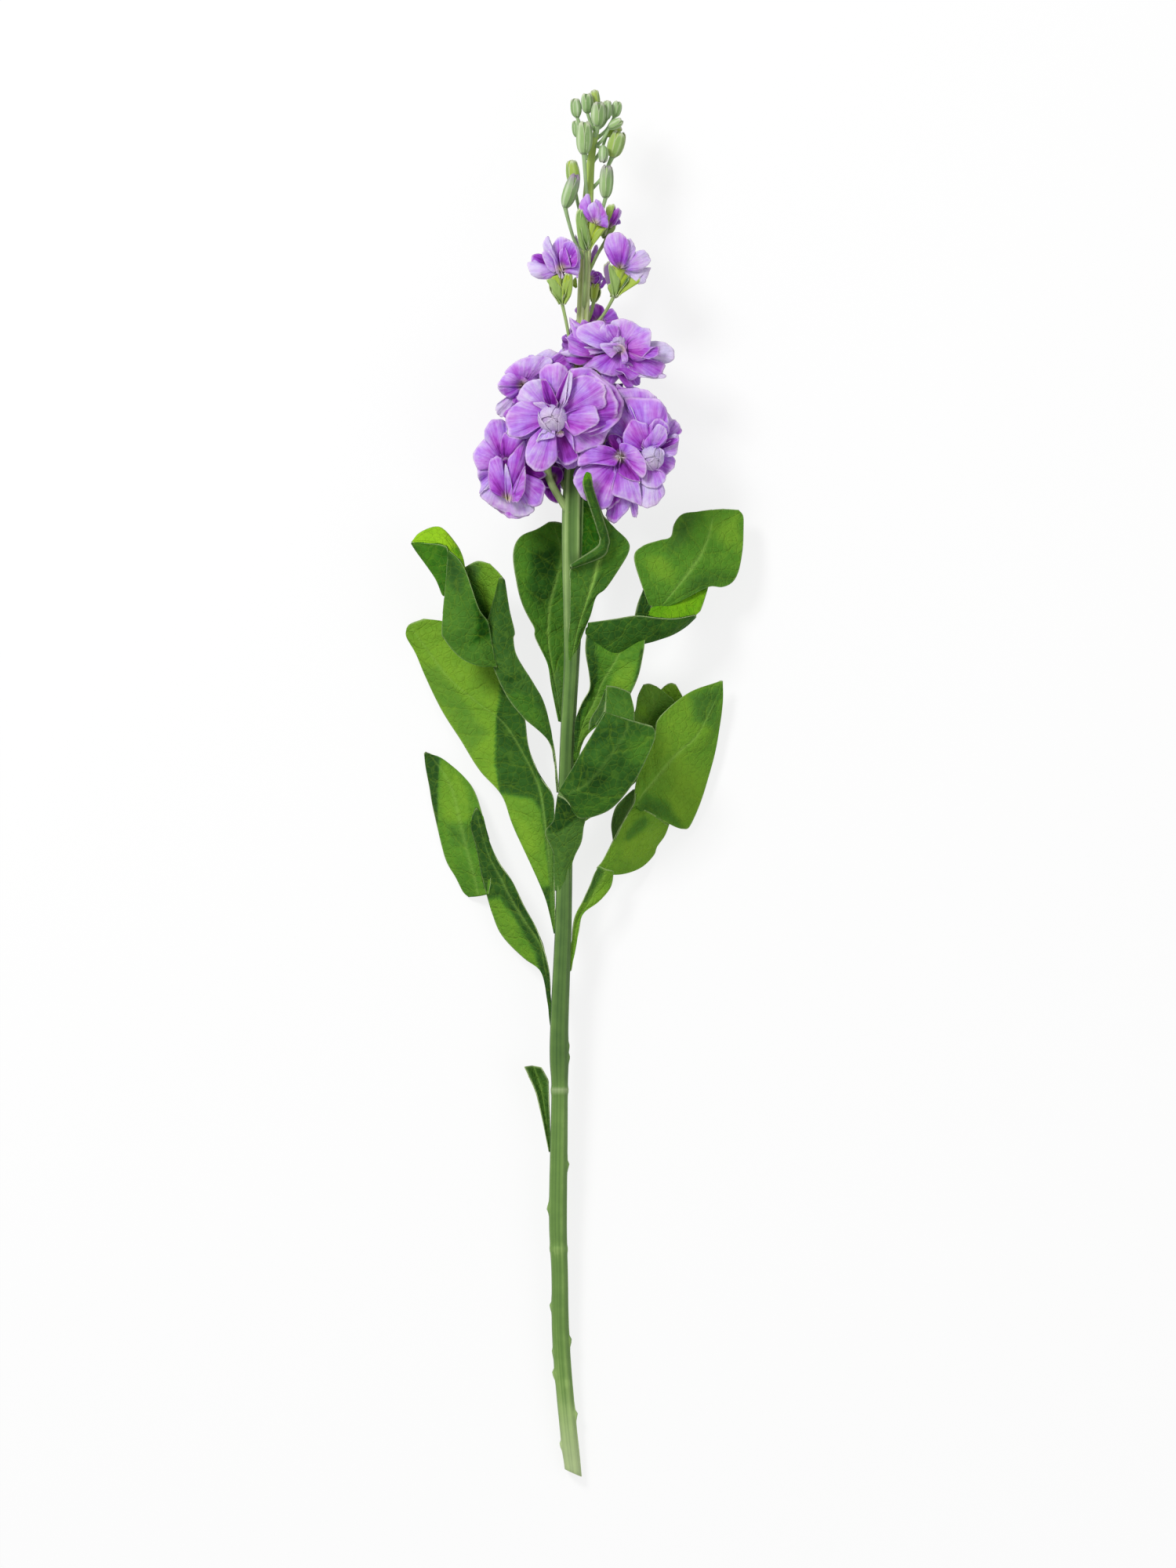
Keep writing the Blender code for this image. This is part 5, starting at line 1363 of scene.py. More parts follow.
@dataclass(frozen=True)
class GreenFinish:
    """The green skin of the stem, stalks, buds and sepals, with its streaks and pale down."""

    name: str
    greens: tuple[str, ...]
    sheen: float
    streak: float = 0.5
    places: Row = (0.0, 0.5, 1.0)
    lime: str = "a9c03a"
    purple: str = "84549c"
    bare: str = "d5dcb8"
    roughness: float = 0.6
    streak_stretch: Row = (26.0, 3.0, 1.0)
    cloud_scale: float = 140.0
    grain_scale: float = 1800.0
    down_tint: str = "eef5e6"
    glow: str = "9cc64a"
    through: float = 0.08

    def build(self) -> Material:
        """Builds the material, whose mark "tint" runs from the first green to the last.

        Returns:
            The material.
        """
        book = NodeBook(bpy.data.materials.new(self.name))
        streaks = book.noise(1.0, 3.0, self.streak_stretch)
        clouds = book.noise(self.cloud_scale, 3.0)
        tint = (book.mark("tint") + (streaks - 0.5) * self.streak + (clouds - 0.5) * 0.3).clamped()
        colour = book.ramp(tint, self.places, self.greens)
        for mark, code in (("lime", self.lime), ("purple", self.purple), ("bare", self.bare)):
            colour = book.mix(book.mark(mark), colour, code)
        grain = book.noise(self.grain_scale, 1.0)
        normal = book.bump(streaks * 0.7 + grain * 0.3, 0.5, 0.3)
        down = Down(self.sheen, self.down_tint, self.glow, self.through)
        return book.skin(colour, normal, self.roughness, down)


# ---------------------------------------------------------------- pieces


@dataclass
class Stem:
    """The main stem: ridged, scarred where leaves were, cut slantwise at its foot.

    The cut's rings are given as share of its radius and paleness, the tip's as share and rise.
    """

    axis: tuple[Row, ...] = STEM_AXIS
    scars: tuple[Row, ...] = LEAF_SCARS
    ridges: tuple[Row, ...] = STEM_RIDGES
    joints: tuple[Row, ...] = STEM_JOINTS
    sides: int = 60
    step: float = 1.6
    cut_slant: float = 0.45
    cut_reach: float = 9.0
    cut_dish: float = 0.35
    cut_rings: tuple[Row, ...] = ((0.0, 0.5), (0.35, 0.75), (0.72, 0.95), (0.94, 0.6))
    tip_rings: tuple[Row, ...] = ((0.7, 0.5), (0.0, 0.8))
    foot_room: float = 0.04
    scar_length: float = 2.2
    scar_spread: float = 24.0
    ridge_end: float = 14.0
    joint_length: float = 1.3
    path: np.ndarray = field(init=False)

    def __post_init__(self) -> None:
        """Works out the fine path of the axis."""
        count = int((self.axis[-1][1] - self.axis[0][1]) / self.step)
        self.path = spread(np.array(self.axis), count)

    def at(self, height: float) -> tuple[np.ndarray, float]:
        """The axis point and the radius at a height along the stem."""
        row = [np.interp(height, self.path[:, 1], self.path[:, k]) for k in (0, 2, 3)]
        return np.array((row[0], height, row[1])), float(row[2])

    def foot_of_stalk(self, start: Row) -> np.ndarray:
        """The point just inside the stem's skin where a stalk grows out of it.

        Args:
            start: The height along the stem and the angle round it.

        Returns:
            The point.
        """
        centre, radius = self.at(start[0])
        turn = math.radians(start[1])
        return centre + np.array((math.cos(turn), 0.0, math.sin(turn))) * radius * 0.7

    def skin_radii(self) -> np.ndarray:
        """Works out the skin's ridges, ribs, scars and joints.

        Returns:
            The radius at each step of the path and each side.
        """
        y, radius = self.path[:, 1:2], self.path[:, 3:4]
        turn = np.linspace(0.0, math.tau, self.sides + 1)[None, :]
        angular = fade(-20.0, 90.0, y)
        ribs = 0.03 * np.cos(5 * turn + 0.6) + 0.014 * np.cos(13 * turn + y * 0.01)
        ribs = ribs + angular * (0.085 * np.abs(np.cos(2.5 * turn + 0.9 + y * 0.004)) - 0.045)
        radii = radius * (1.0 + ribs + 0.012 * ripple(2.0, y * 0.11, np.cos(turn)))
        for angle, low, high, rise, breadth in self.ridges:
            away = ((np.degrees(turn) - angle + 180.0) % 360.0 - 180.0) / breadth
            along = fade(low, low + self.ridge_end, y) * (1.0 - fade(high - self.ridge_end, high, y))
            radii = radii + rise * np.exp(-away * away) * along
        for height, angle, rise in self.scars:
            along = (y - height) / self.scar_length
            around = ((np.degrees(turn) - angle + 180.0) % 360.0 - 180.0) / self.scar_spread
            lip = 1.0 - 0.8 * np.exp(-((along - 0.9) ** 2) * 6.0)
            radii = radii + rise * np.exp(-along * along - around * around) * lip
        for height, rise in self.joints:
            radii = radii + rise * np.exp(-(((y - height) / self.joint_length) ** 2))
        return radii

    def skin(self, radii: np.ndarray) -> np.ndarray:
        """Rolls the skin round the axis, slants and closes the cut end, and rounds the tip.

        Args:
            radii: The radius at each step of the path and each side.

        Returns:
            The skin's points.
        """
        turn = np.linspace(0.0, math.tau, self.sides + 1)
        ring = np.stack([np.cos(turn), np.zeros_like(turn), np.sin(turn)], axis=-1)
        surface = self.path[:, None, :3] + ring[None] * radii[..., None]
        foot, tip = self.path[0, :3], self.path[-1, :3]
        slope = -self.cut_slant * (surface[0, :, 0] - foot[0])
        weight = 1.0 - fade(0.0, self.cut_reach, self.path[:, 1] - foot[1])
        surface[..., 1] += weight[:, None] * slope[None, :]
        cut = []
        for share, _ in self.cut_rings:
            disc = foot + (surface[0] - foot) * share
            disc[:, 1] += self.cut_dish * math.sin(share * 4.0)
            cut.append(disc)
        ahead = np.array((0.0, 1.0, 0.0))
        cap = [tip + (surface[-1] - tip) * share + ahead * rise for share, rise in self.tip_rings]
        surface = np.concatenate([np.array(cut), surface, np.array(cap)])
        surface[..., 2] = np.maximum(surface[..., 2], self.foot_room)
        return surface

    def marks(self, y: np.ndarray, radii: np.ndarray) -> dict[str, np.ndarray]:
        """The colours along the stem and over its ridges, with painted highlight, shade and light among them.

        Args:
            y: The height along the stem of the skin's points.
            radii: The radius at each step of the path and each side.

        Returns:
            The values for the skin's material.
        """
        # Ridge crests are paler and grooves darker, partly painted highlight and painted shade over the
        # relief
        ridge = np.zeros(y.shape)
        proud = (radii / self.path[:, 3:4] - 1.0) * 6.0
        ridge[len(self.cut_rings) : -len(self.tip_rings)] = np.clip(proud, -0.3, 0.6)
        bare = np.zeros(y.shape)
        bare[: len(self.cut_rings)] = np.array([pale for _, pale in self.cut_rings])[:, None]
        bare = bare + 0.45 * np.exp(-(((y - self.joints[0][0]) / 0.7) ** 2))
        bare = bare + 0.4 * (1.0 - fade(-299.0, -258.0, y))
        bare = bare + np.clip(ridge, 0.0, 0.6) * (0.18 * fade(40.0, 80.0, y) + 0.35 * fade(150.0, 180.0, y))
        # Painted light: the top, in the blooms' shade, is lifted paler
        bare = bare + 0.3 * fade(180.0, 200.0, y) * (1.0 - fade(232.0, 248.0, y))
        # The top is lighter and limier, partly its own colour and partly painted light against the blooms'
        # shade
        tint = 0.14 + 0.08 * fade(-60.0, 0.0, y) + 0.14 * fade(70.0, 95.0, y) + 0.8 * fade(160.0, 192.0, y)
        tint = tint + 0.22 * (1.0 - fade(-140.0, -120.0, y)) + 0.38 * (1.0 - fade(-299.0, -225.0, y))
        tint = tint + ridge * (0.4 + 0.2 * fade(40.0, 80.0, y))
        lime = (0.45 + 0.3 * (1.0 - fade(235.0, 250.0, y))) * fade(162.0, 190.0, y)
        lime = lime * (1.0 - fade(276.0, 286.0, y))
        return {"tint": tint, "lime": lime, "purple": 0.0 * y, "bare": bare}

    def build(self, finish: Material) -> None:
        """Builds the stem.

        Args:
            finish: Its skin.
        """
        radii = self.skin_radii()
        surface = self.skin(radii)
        piece = grid_piece("main_stem_skin", surface, self.marks(surface[..., 1], radii))
        close_tube(piece)
        settle(piece, "main_stem", [finish])


@dataclass
class Leaf:
    """A leaf of one or more sheets, each lofted through its cross-sections and thickened."""

    name: str
    sheets: tuple
    patches: tuple[Patch, ...] = ()
    thickness: float = 0.5
    pillow: float = 0.65
    wave: float = 0.6
    rib_depth: float = 0.4
    step: float = 0.85
    most_rows: int = 170
    most_columns: int = 28
    vein_gap: float = 14.0
    join_reach: float = 0.75
    least_drop: float = 0.5
    most_drop: float = 8.0
    shortest_join: int = 6
    join_columns: int = 4

    @staticmethod
    def crowded(count: int) -> np.ndarray:
        """Places from -1 to 1 that lie closer at the margins and round the midrib."""
        t = np.linspace(-1.0, 1.0, 2 * count + 1)
        return t - 0.1 * np.sin(math.tau * t)

    def surface(self, number: int) -> tuple[np.ndarray, dict[str, np.ndarray]]:
        """Shapes a sheet: lofted, quilted between its veins, waved at its margins and ribbed.

        Args:
            number: Which sheet.

        Returns:
            Its points in millimetres, and the values to keep at them.
        """
        glow, grey, rib, rows = self.sheets[number]
        rails = np.reshape(rows, (len(rows), -1, 3))
        middle = rails[:, rails.shape[1] // 2]
        lengths = np.concatenate([[0.0], np.cumsum(np.linalg.norm(np.diff(middle, axis=0), axis=1))])
        long = lengths[-1]
        widest = float(np.linalg.norm(np.diff(rails, axis=1), axis=-1).sum(axis=1).max())
        steps = int(np.clip(long / self.step, 10, self.most_rows))
        stations = np.interp(np.linspace(0.0, long, steps), lengths, np.arange(len(rails)))
        lines = smooth_curve(rails, stations)
        s = self.crowded(int(np.clip(widest / self.step / 2.0, 5, self.most_columns)))
        place = (s + 1.0) / 2.0 * (rails.shape[1] - 1)
        points = np.swapaxes(smooth_curve(np.swapaxes(lines, 0, 1), place), 0, 1)
        t = (stations / stations[-1])[:, None] + 0.0 * s[None, :]
        side = np.abs(s)[None, :] + 0.0 * t
        branch = t * long / self.vein_gap - 0.9 * side
        seed = 1.7 * len(self.name) + number
        full = min(1.0, rib)
        inner = np.sin(math.pi * as_share(side)) * np.sin(math.pi * as_share(t)) ** 0.5
        quilt = np.sin(math.pi * (branch - np.floor(branch)))
        relief = self.pillow * (quilt - 0.5) * inner * full
        lumps = ripple(seed, points[..., 0] * 0.16, points[..., 1] * 0.16)
        relief = relief + 0.5 * self.pillow * lumps * (1.0 - side**4)
        grow = fade(0.06, 0.3, t) * (1.0 - 0.7 * fade(0.9, 1.0, t)) * full
        relief = relief + self.wave * side**3 * grow * ripple(seed, t * long * 0.13 + 0.9 * np.sign(s), side)
        line = np.exp(-((s[None, :] * widest / (2.5 - 1.2 * t)) ** 2)) * rib * (1.0 - 0.5 * t)
        relief = relief - self.rib_depth * line
        points = above_floor(points + normals_of(points) * relief[..., None], self.thickness)
        # Painted light: each sheet's glow and its patches' make it brighter where light would come through
        # and darker where shade falls
        light = np.full(t.shape, glow)
        dull = np.full(t.shape, grey)
        for patch in self.patches:
            if patch.sheet == number:
                share = patch.cover(points[..., 0], points[..., 1])
                light = light + (patch.glow - light) * share
                dull = dull + (patch.grey - dull) * share
        # Painted shade in the quilting's hollows and painted highlight on its pillows
        light = light + 0.10 * (quilt - 0.5) * inner * full
        margin = 0.45 + 0.9 * grey * fade(16.0, 8.0, widest)
        edge = fade(margin, 0.0, (1.0 - side) * widest / 2.0)
        edge = np.maximum(edge, fade(0.45, 0.0, (1.0 - t) * long))
        return points, {"glow": light, "grey": dull, "edge": edge, "rib": line, "branch": branch}

    def joins(self, sheets: list[tuple[np.ndarray, dict]]) -> list[tuple[np.ndarray, dict]]:
        """Walls that close the steps between sheets where the leaf folds over.

        Args:
            sheets: The points and the values of each sheet.

        Returns:
            The points and the values of each wall.
        """
        walls = []
        share = np.linspace(0.0, 1.0, self.join_columns)[None, :, None]
        for number, (points, marks) in enumerate(sheets):
            for side in ((0,), (-1,), (slice(None), 0), (slice(None), -1)):
                edge = points[side]
                for other, (there, _) in enumerate(sheets):
                    if other == number:
                        continue
                    inner = there[1:-1, 1:-1] if other > number else there
                    flat = inner.reshape(-1, 3)
                    gaps = np.linalg.norm(edge[:, None, :2] - flat[None, :, :2], axis=2)
                    foot = flat[gaps.argmin(axis=1)]
                    drop = np.abs(foot[:, 2] - edge[:, 2])
                    steep = (drop > self.least_drop) & (drop < self.most_drop)
                    close = steep & (gaps.min(axis=1) < self.join_reach)
                    ends = np.flatnonzero(np.diff(np.concatenate([[0], close.astype(int), [0]])))
                    for first, last in ends.reshape(-1, 2):
                        if last - first < self.shortest_join:
                            continue
                        run = slice(first, last)
                        wall = edge[run, None] * (1.0 - share) + foot[run, None] * share
                        values = {key: np.repeat(mark[side][run, None], self.join_columns, axis=1)
                                  for key, mark in marks.items()}
                        values["edge"] = values["edge"] * 0.0
                        walls.append((wall, values))
        return walls

    def build(self, faces: list[Material]) -> None:
        """Builds the sheets as one piece.

        Args:
            faces: The materials of its top, underside and rim.
        """
        parts = []
        sheets = [self.surface(number) for number in range(len(self.sheets))]
        for number, (points, marks) in enumerate(sheets + self.joins(sheets)):
            sheet = grid_piece(f"{self.name}_sheet_{number}", points, marks)
            sheet.data.flip_normals()
            for face in faces:
                sheet.data.materials.append(face)
            thicken(sheet, self.thickness, 1)
            parts.append(sheet)
        settle(join(parts, f"{self.name}_blade"), self.name, faces)


@dataclass
class Petal:
    """One petal or sepal: a narrow claw that opens into a rounded, ruffled blade."""

    base: np.ndarray
    tip: np.ndarray
    width: float
    arch: float
    sides: float
    turn: float
    tone: float
    ruffle: float
    facing: np.ndarray
    seed: float
    claw: float = 0.3
    blunt: float = 0.7
    flex: float = 0.7
    thickness: float = 0.3
    claw_colour: float = 1.0

    def directions(self) -> tuple[np.ndarray, np.ndarray, np.ndarray, float]:
        """Works out how the petal lies.

        Returns:
            The directions across, along and out of it, and its length.
        """
        reach = self.tip - self.base
        length = float(np.linalg.norm(reach))
        along = unit(reach)
        out = unit(self.facing - along * float(self.facing @ along) + 1e-6)
        across = np.cross(along, out)
        cos, sin = math.cos(math.radians(self.turn)), math.sin(math.radians(self.turn))
        return across * cos - out * sin, along, out * cos + across * sin, length

    def build(self, name: str) -> Piece:
        """Builds the petal as a closed sheet.

        Args:
            name: The object's name.

        Returns:
            The sheet.
        """
        across, along, out, length = self.directions()
        v = np.array(PETAL_ROWS)[:, None]
        s = np.array(PETAL_COLUMNS)[None, :]
        seed = self.seed
        share = self.claw + (1.0 - self.claw) * fade(0.0, 0.58, v)
        tail = 1.0 - self.blunt**2
        share = share * np.sqrt(as_share(1.0 - tail * (as_share(v - 0.66) / 0.34) ** 3))
        margin = 0.045 * np.sin(2.3 * s + seed) + 0.03 * np.sin(5.0 * s + 2.0 * seed)
        margin = margin + 0.012 * np.sin(12.0 * s + seed)
        y = length * (v - 0.19 * s**2 * v**3 + margin * v**4)
        x = share * s * (1.0 + 0.05 * np.sin(7.0 * v + seed)) + 0.07 * math.sin(3.0 * seed) * v**2
        x = self.width / 2.0 * x
        z = self.flex * (self.arch * np.sin(math.pi * v**0.9) + self.sides * s**2 * v**0.8)
        wavy = v**3 * np.sin(4.6 * s + seed) + 0.8 * np.abs(s) ** 3 * np.sin(8.0 * v + 2.3 * seed)
        z = z + 1.5 * self.ruffle * wavy + 0.03 * self.width * v * np.sin(2.6 * s + 3.0 * seed)
        z = z + 0.12 * v * np.sin(12.0 * s + seed) + 0.2 * ripple(seed, v * 4.0, s * 3.0)
        rim = np.maximum(np.abs(s), v)
        z = z - 0.35 * as_share((rim - 0.86) / 0.14) ** 2 * (0.6 + 0.8 * np.sin(seed * 5.0))
        points = self.base + x[..., None] * across + y[..., None] * along + z[..., None] * out
        marks = {
            "tone": self.tone + 0.48 * (v - 0.52) + 0.10 * s**2 * v - 0.04,
            "rim": as_share((rim - 0.965) / 0.035),
            "claw": self.claw_colour * as_share(1.0 - v / 0.2),
        }
        sheet = grid_piece(name, above_floor(points), marks)
        thicken(sheet, self.thickness)
        return sheet


@dataclass
class DrawnPetal:
    """A petal or sepal with a given outline, domed, creased and ruffled."""

    meet: np.ndarray
    height: float
    arch: float
    sides: float
    tone: float
    ruffle: float
    outline: np.ndarray
    seed: float
    thickness: float = 0.28
    columns: int = 31
    layer_share: float = 0.35

    @staticmethod
    def from_table(groups: tuple, seed: float) -> list[DrawnPetal]:
        """Reads a flower's petals from its table.

        Args:
            groups: The table's groups.
            seed: The source of their small differences.

        Returns:
            The petals.
        """
        return [DrawnPetal(np.array(meet), *row[:5], np.reshape(row[5:], (-1, 2)), seed + 1.3 * number)
                for meet, rows in groups for number, row in enumerate(rows)]

    def build(self, name: str) -> Piece:
        """Builds the petal as a closed sheet that fans out from its claw to its outline.

        Args:
            name: The object's name.

        Returns:
            The sheet.
        """
        rim = spread(self.outline, self.columns)
        s = np.linspace(-1.0, 1.0, self.columns)[None, :]
        r = np.array(DRAWN_ROWS)[:, None]
        seed = self.seed
        reach = np.linalg.norm(rim - self.meet[:2], axis=1)[None, :]
        foot = self.meet[:2] + 0.12 * (rim - self.meet[:2]) / np.maximum(reach.T, 1.0)
        notch = 1.0 + 0.012 * np.sin(9.0 * s + seed) + 0.01 * np.sin(23.0 * s + 3.0 * seed)
        flat = foot[None] + (rim[None] - foot[None]) * (r * (1.0 + (notch - 1.0) * r**6))[..., None]
        low = self.meet[2] + self.layer_share * (self.height - self.meet[2])
        z = low + (self.height - low) * r**0.8
        z = z + self.arch * np.sin(math.pi * r**0.85) * (1.0 - 0.5 * s**2) + self.sides * s**2 * r
        wavy = np.sin(5.0 * s + seed) + 0.6 * np.sin(11.0 * s + 2.0 * seed)
        z = z + self.ruffle * (2.0 * r**3 * wavy + 0.9 * ripple(seed, r * 3.0, s * 3.0) * r)
        crease = np.exp(-((s - 0.3 * math.sin(seed)) ** 2) / 0.012)
        crease = crease + 0.7 * np.exp(-((s + 0.45 + 0.2 * math.cos(seed)) ** 2) / 0.008)
        crease = crease + 0.7 * np.exp(-((s - 0.62 + 0.1 * math.cos(2.0 * seed)) ** 2) / 0.01)
        crease = crease * r * (1.0 - r)
        z = z - 1.4 * crease + 0.12 * r * np.sin(17.0 * s + seed) - 0.35 * as_share((r - 0.9) / 0.1) ** 2
        points = above_floor(np.concatenate([flat, z[..., None]], axis=-1))
        # Darker towards the claw, partly the petal's own colour and partly painted shade where petals
        # overlap; the ruffle term is painted shade and highlight on the waves
        own_tone_and_painted_shade = 0.42 * (as_share(r * reach / 14.0) - 0.72) + 0.17 * wavy * r**4 * min(self.ruffle, 0.6)
        edge = np.maximum(r, np.abs(s) * (r > 0.3))
        marks = {
            # The creases are darkened with painted shade
            "tone": 0.9 * self.tone + own_tone_and_painted_shade - 0.95 * crease,
            "rim": as_share((edge - 0.93) / 0.05),
            "claw": as_share(1.0 - r * reach / 3.1),
        }
        sheet = grid_piece(name, points, marks)
        thicken(sheet, self.thickness)
        return sheet


@dataclass
class Whorl:
    """Petals that stand round a flower's axis: how many, their angle from it, length, width and tone."""

    count: int
    opening: float
    reach: float
    width: float
    tone: float

    def petals(self, foot: np.ndarray, axis: np.ndarray, rng: np.random.Generator) -> list[Petal]:
        """Places the petals.

        Args:
            foot: Where they meet.
            axis: The way the flower faces.
            rng: The source of their small differences.

        Returns:
            The petals.
        """
        side = unit(np.cross(axis, (0.31, 0.87, 0.38)))
        over = np.cross(axis, side)
        start = rng.uniform(0.0, math.tau)
        found = []
        for number in range(self.count):
            angle = start + math.tau * (number + rng.uniform(-0.22, 0.22)) / self.count
            tilt = math.radians(self.opening + rng.uniform(-9.0, 9.0))
            radial = side * math.cos(angle) + over * math.sin(angle)
            ahead = axis * math.cos(tilt) + radial * math.sin(tilt)
            long = self.reach * rng.uniform(0.88, 1.08)
            base = foot + radial * 1.2
            found.append(Petal(
                base,
                base + ahead * long,
                width=self.width * rng.uniform(0.85, 1.1),
                arch=long * 0.10,
                sides=long * rng.uniform(-0.16, 0.05),
                turn=rng.uniform(-14.0, 14.0),
                tone=self.tone + rng.uniform(-0.16, 0.16),
                ruffle=long * 0.055,
                facing=axis * math.sin(tilt) - radial * math.cos(tilt),
                seed=rng.uniform(0.0, 6.0),
            ))
        return found


def sepals(base: np.ndarray, top: np.ndarray, radius: float, spread_out: float, lean: float) -> list[Petal]:
    """Four pointed sepals round a calyx.

    Args:
        base: The calyx's foot.
        top: Where the sepals end.
        radius: The calyx's radius.
        spread_out: How far their points stand out, in millimetres.
        lean: The angle of the first one, in degrees.

    Returns:
        The sepals.
    """
    axis = unit(top - base)
    length = float(np.linalg.norm(top - base))
    side = unit(np.cross(axis, UP))
    over = np.cross(side, axis)
    found = []
    for number in range(4):
        angle = math.radians(lean + 90.0 * number)
        radial = side * math.cos(angle) + over * math.sin(angle)
        foot = base + radial * radius * 0.35
        end = base + axis * length * (1.05 - 0.06 * (number % 2)) + radial * (radius + spread_out)
        found.append(Petal(
            foot, end, width=radius * 1.75, arch=radius * 0.42, sides=-radius * 0.42, turn=0.0, tone=0.5,
            ruffle=0.1, facing=radial, seed=1.3 * number + lean, claw=0.55, blunt=0.22, flex=1.0,
            thickness=0.4, claw_colour=0.0,
        ))
    return found


def green_sheet(sepal: Petal | DrawnPetal, name: str, lime: float, purple: float = 0.0) -> Piece:
    """Builds a sepal as a sheet with a green piece's marks.

    Args:
        sepal: The sepal.
        name: The object's name.
        lime: How yellow it is, or how dark if below 0.
        purple: How purple it is.

    Returns:
        The sheet.
    """
    sheet = sepal.build(name)
    layers = sheet.data.attributes
    rim = np.zeros(len(sheet.data.vertices))
    layers["rim"].data.foreach_get("value", rim)
    marks = {
        "tint": 0.5 + min(lime, 0.0) + 0.5 * rim,
        "lime": max(lime, 0.0) * (1.0 - 0.8 * rim),
        "purple": purple * (1.0 - 0.5 * rim),
        "bare": 0.5 * rim,
    }
    for mark, values in marks.items():
        layers.new(mark, "FLOAT", "POINT").data.foreach_set("value", values)
    return sheet


@dataclass
class Stalk:
    """A thin round stalk that swells into a calyx or a bud, whose marks and seams start at head_from."""

    centres: np.ndarray
    radii: np.ndarray
    tint: float
    lime: float
    purple: float = 0.0
    seams: float = 0.12
    sides: int = 20
    steps: int = 6
    head_from: float = 2.0
    stalk_tint: float = 0.65

    def build(self, name: str) -> Piece:
        """Builds it as a closed tube.

        Args:
            name: The object's name.

        Returns:
            The tube.
        """
        last = len(self.centres) - 1.0
        stations = np.linspace(0.0, last, int(last) * self.steps + 1)
        centres = smooth_curve(self.centres, stations)
        radii = np.maximum(smooth_curve(self.radii[:, None], stations)[:, 0], 0.05)
        turn = np.linspace(0.0, math.tau, self.sides + 1)[None, :]
        head = fade(self.head_from - 0.2, self.head_from + 0.8, stations)[:, None]
        seam = np.exp(-((np.mod(turn * 4.0 / math.tau + 0.5, 1.0) - 0.5) / 0.11) ** 2)
        crest = np.exp(-((np.mod(turn * 4.0 / math.tau, 1.0) - 0.5) / 0.1) ** 2)
        wide = radii[:, None] * (1.0 - self.seams * head * seam + 0.4 * self.seams * head * crest)
        centres = np.concatenate([centres[:1], centres, centres[-1:]])
        wide = np.concatenate([0.0 * wide[:1], wide, 0.0 * wide[:1]])
        head = np.concatenate([head[:1], head, head[-1:]])
        along = np.concatenate([stations[:1], stations, stations[-1:]])[:, None]
        tip = fade(last - 1.6, last - 0.2, along)
        marks = {
            "tint": self.stalk_tint + head * (self.tint - self.stalk_tint) + 0.45 * head * (crest - seam),
            "lime": head * self.lime,
            "purple": tip * self.purple,
            "bare": 0.25 * head * crest,
        }
        piece = grid_piece(name, tube_surface(centres, wide, self.sides), marks)
        close_tube(piece)
        return piece


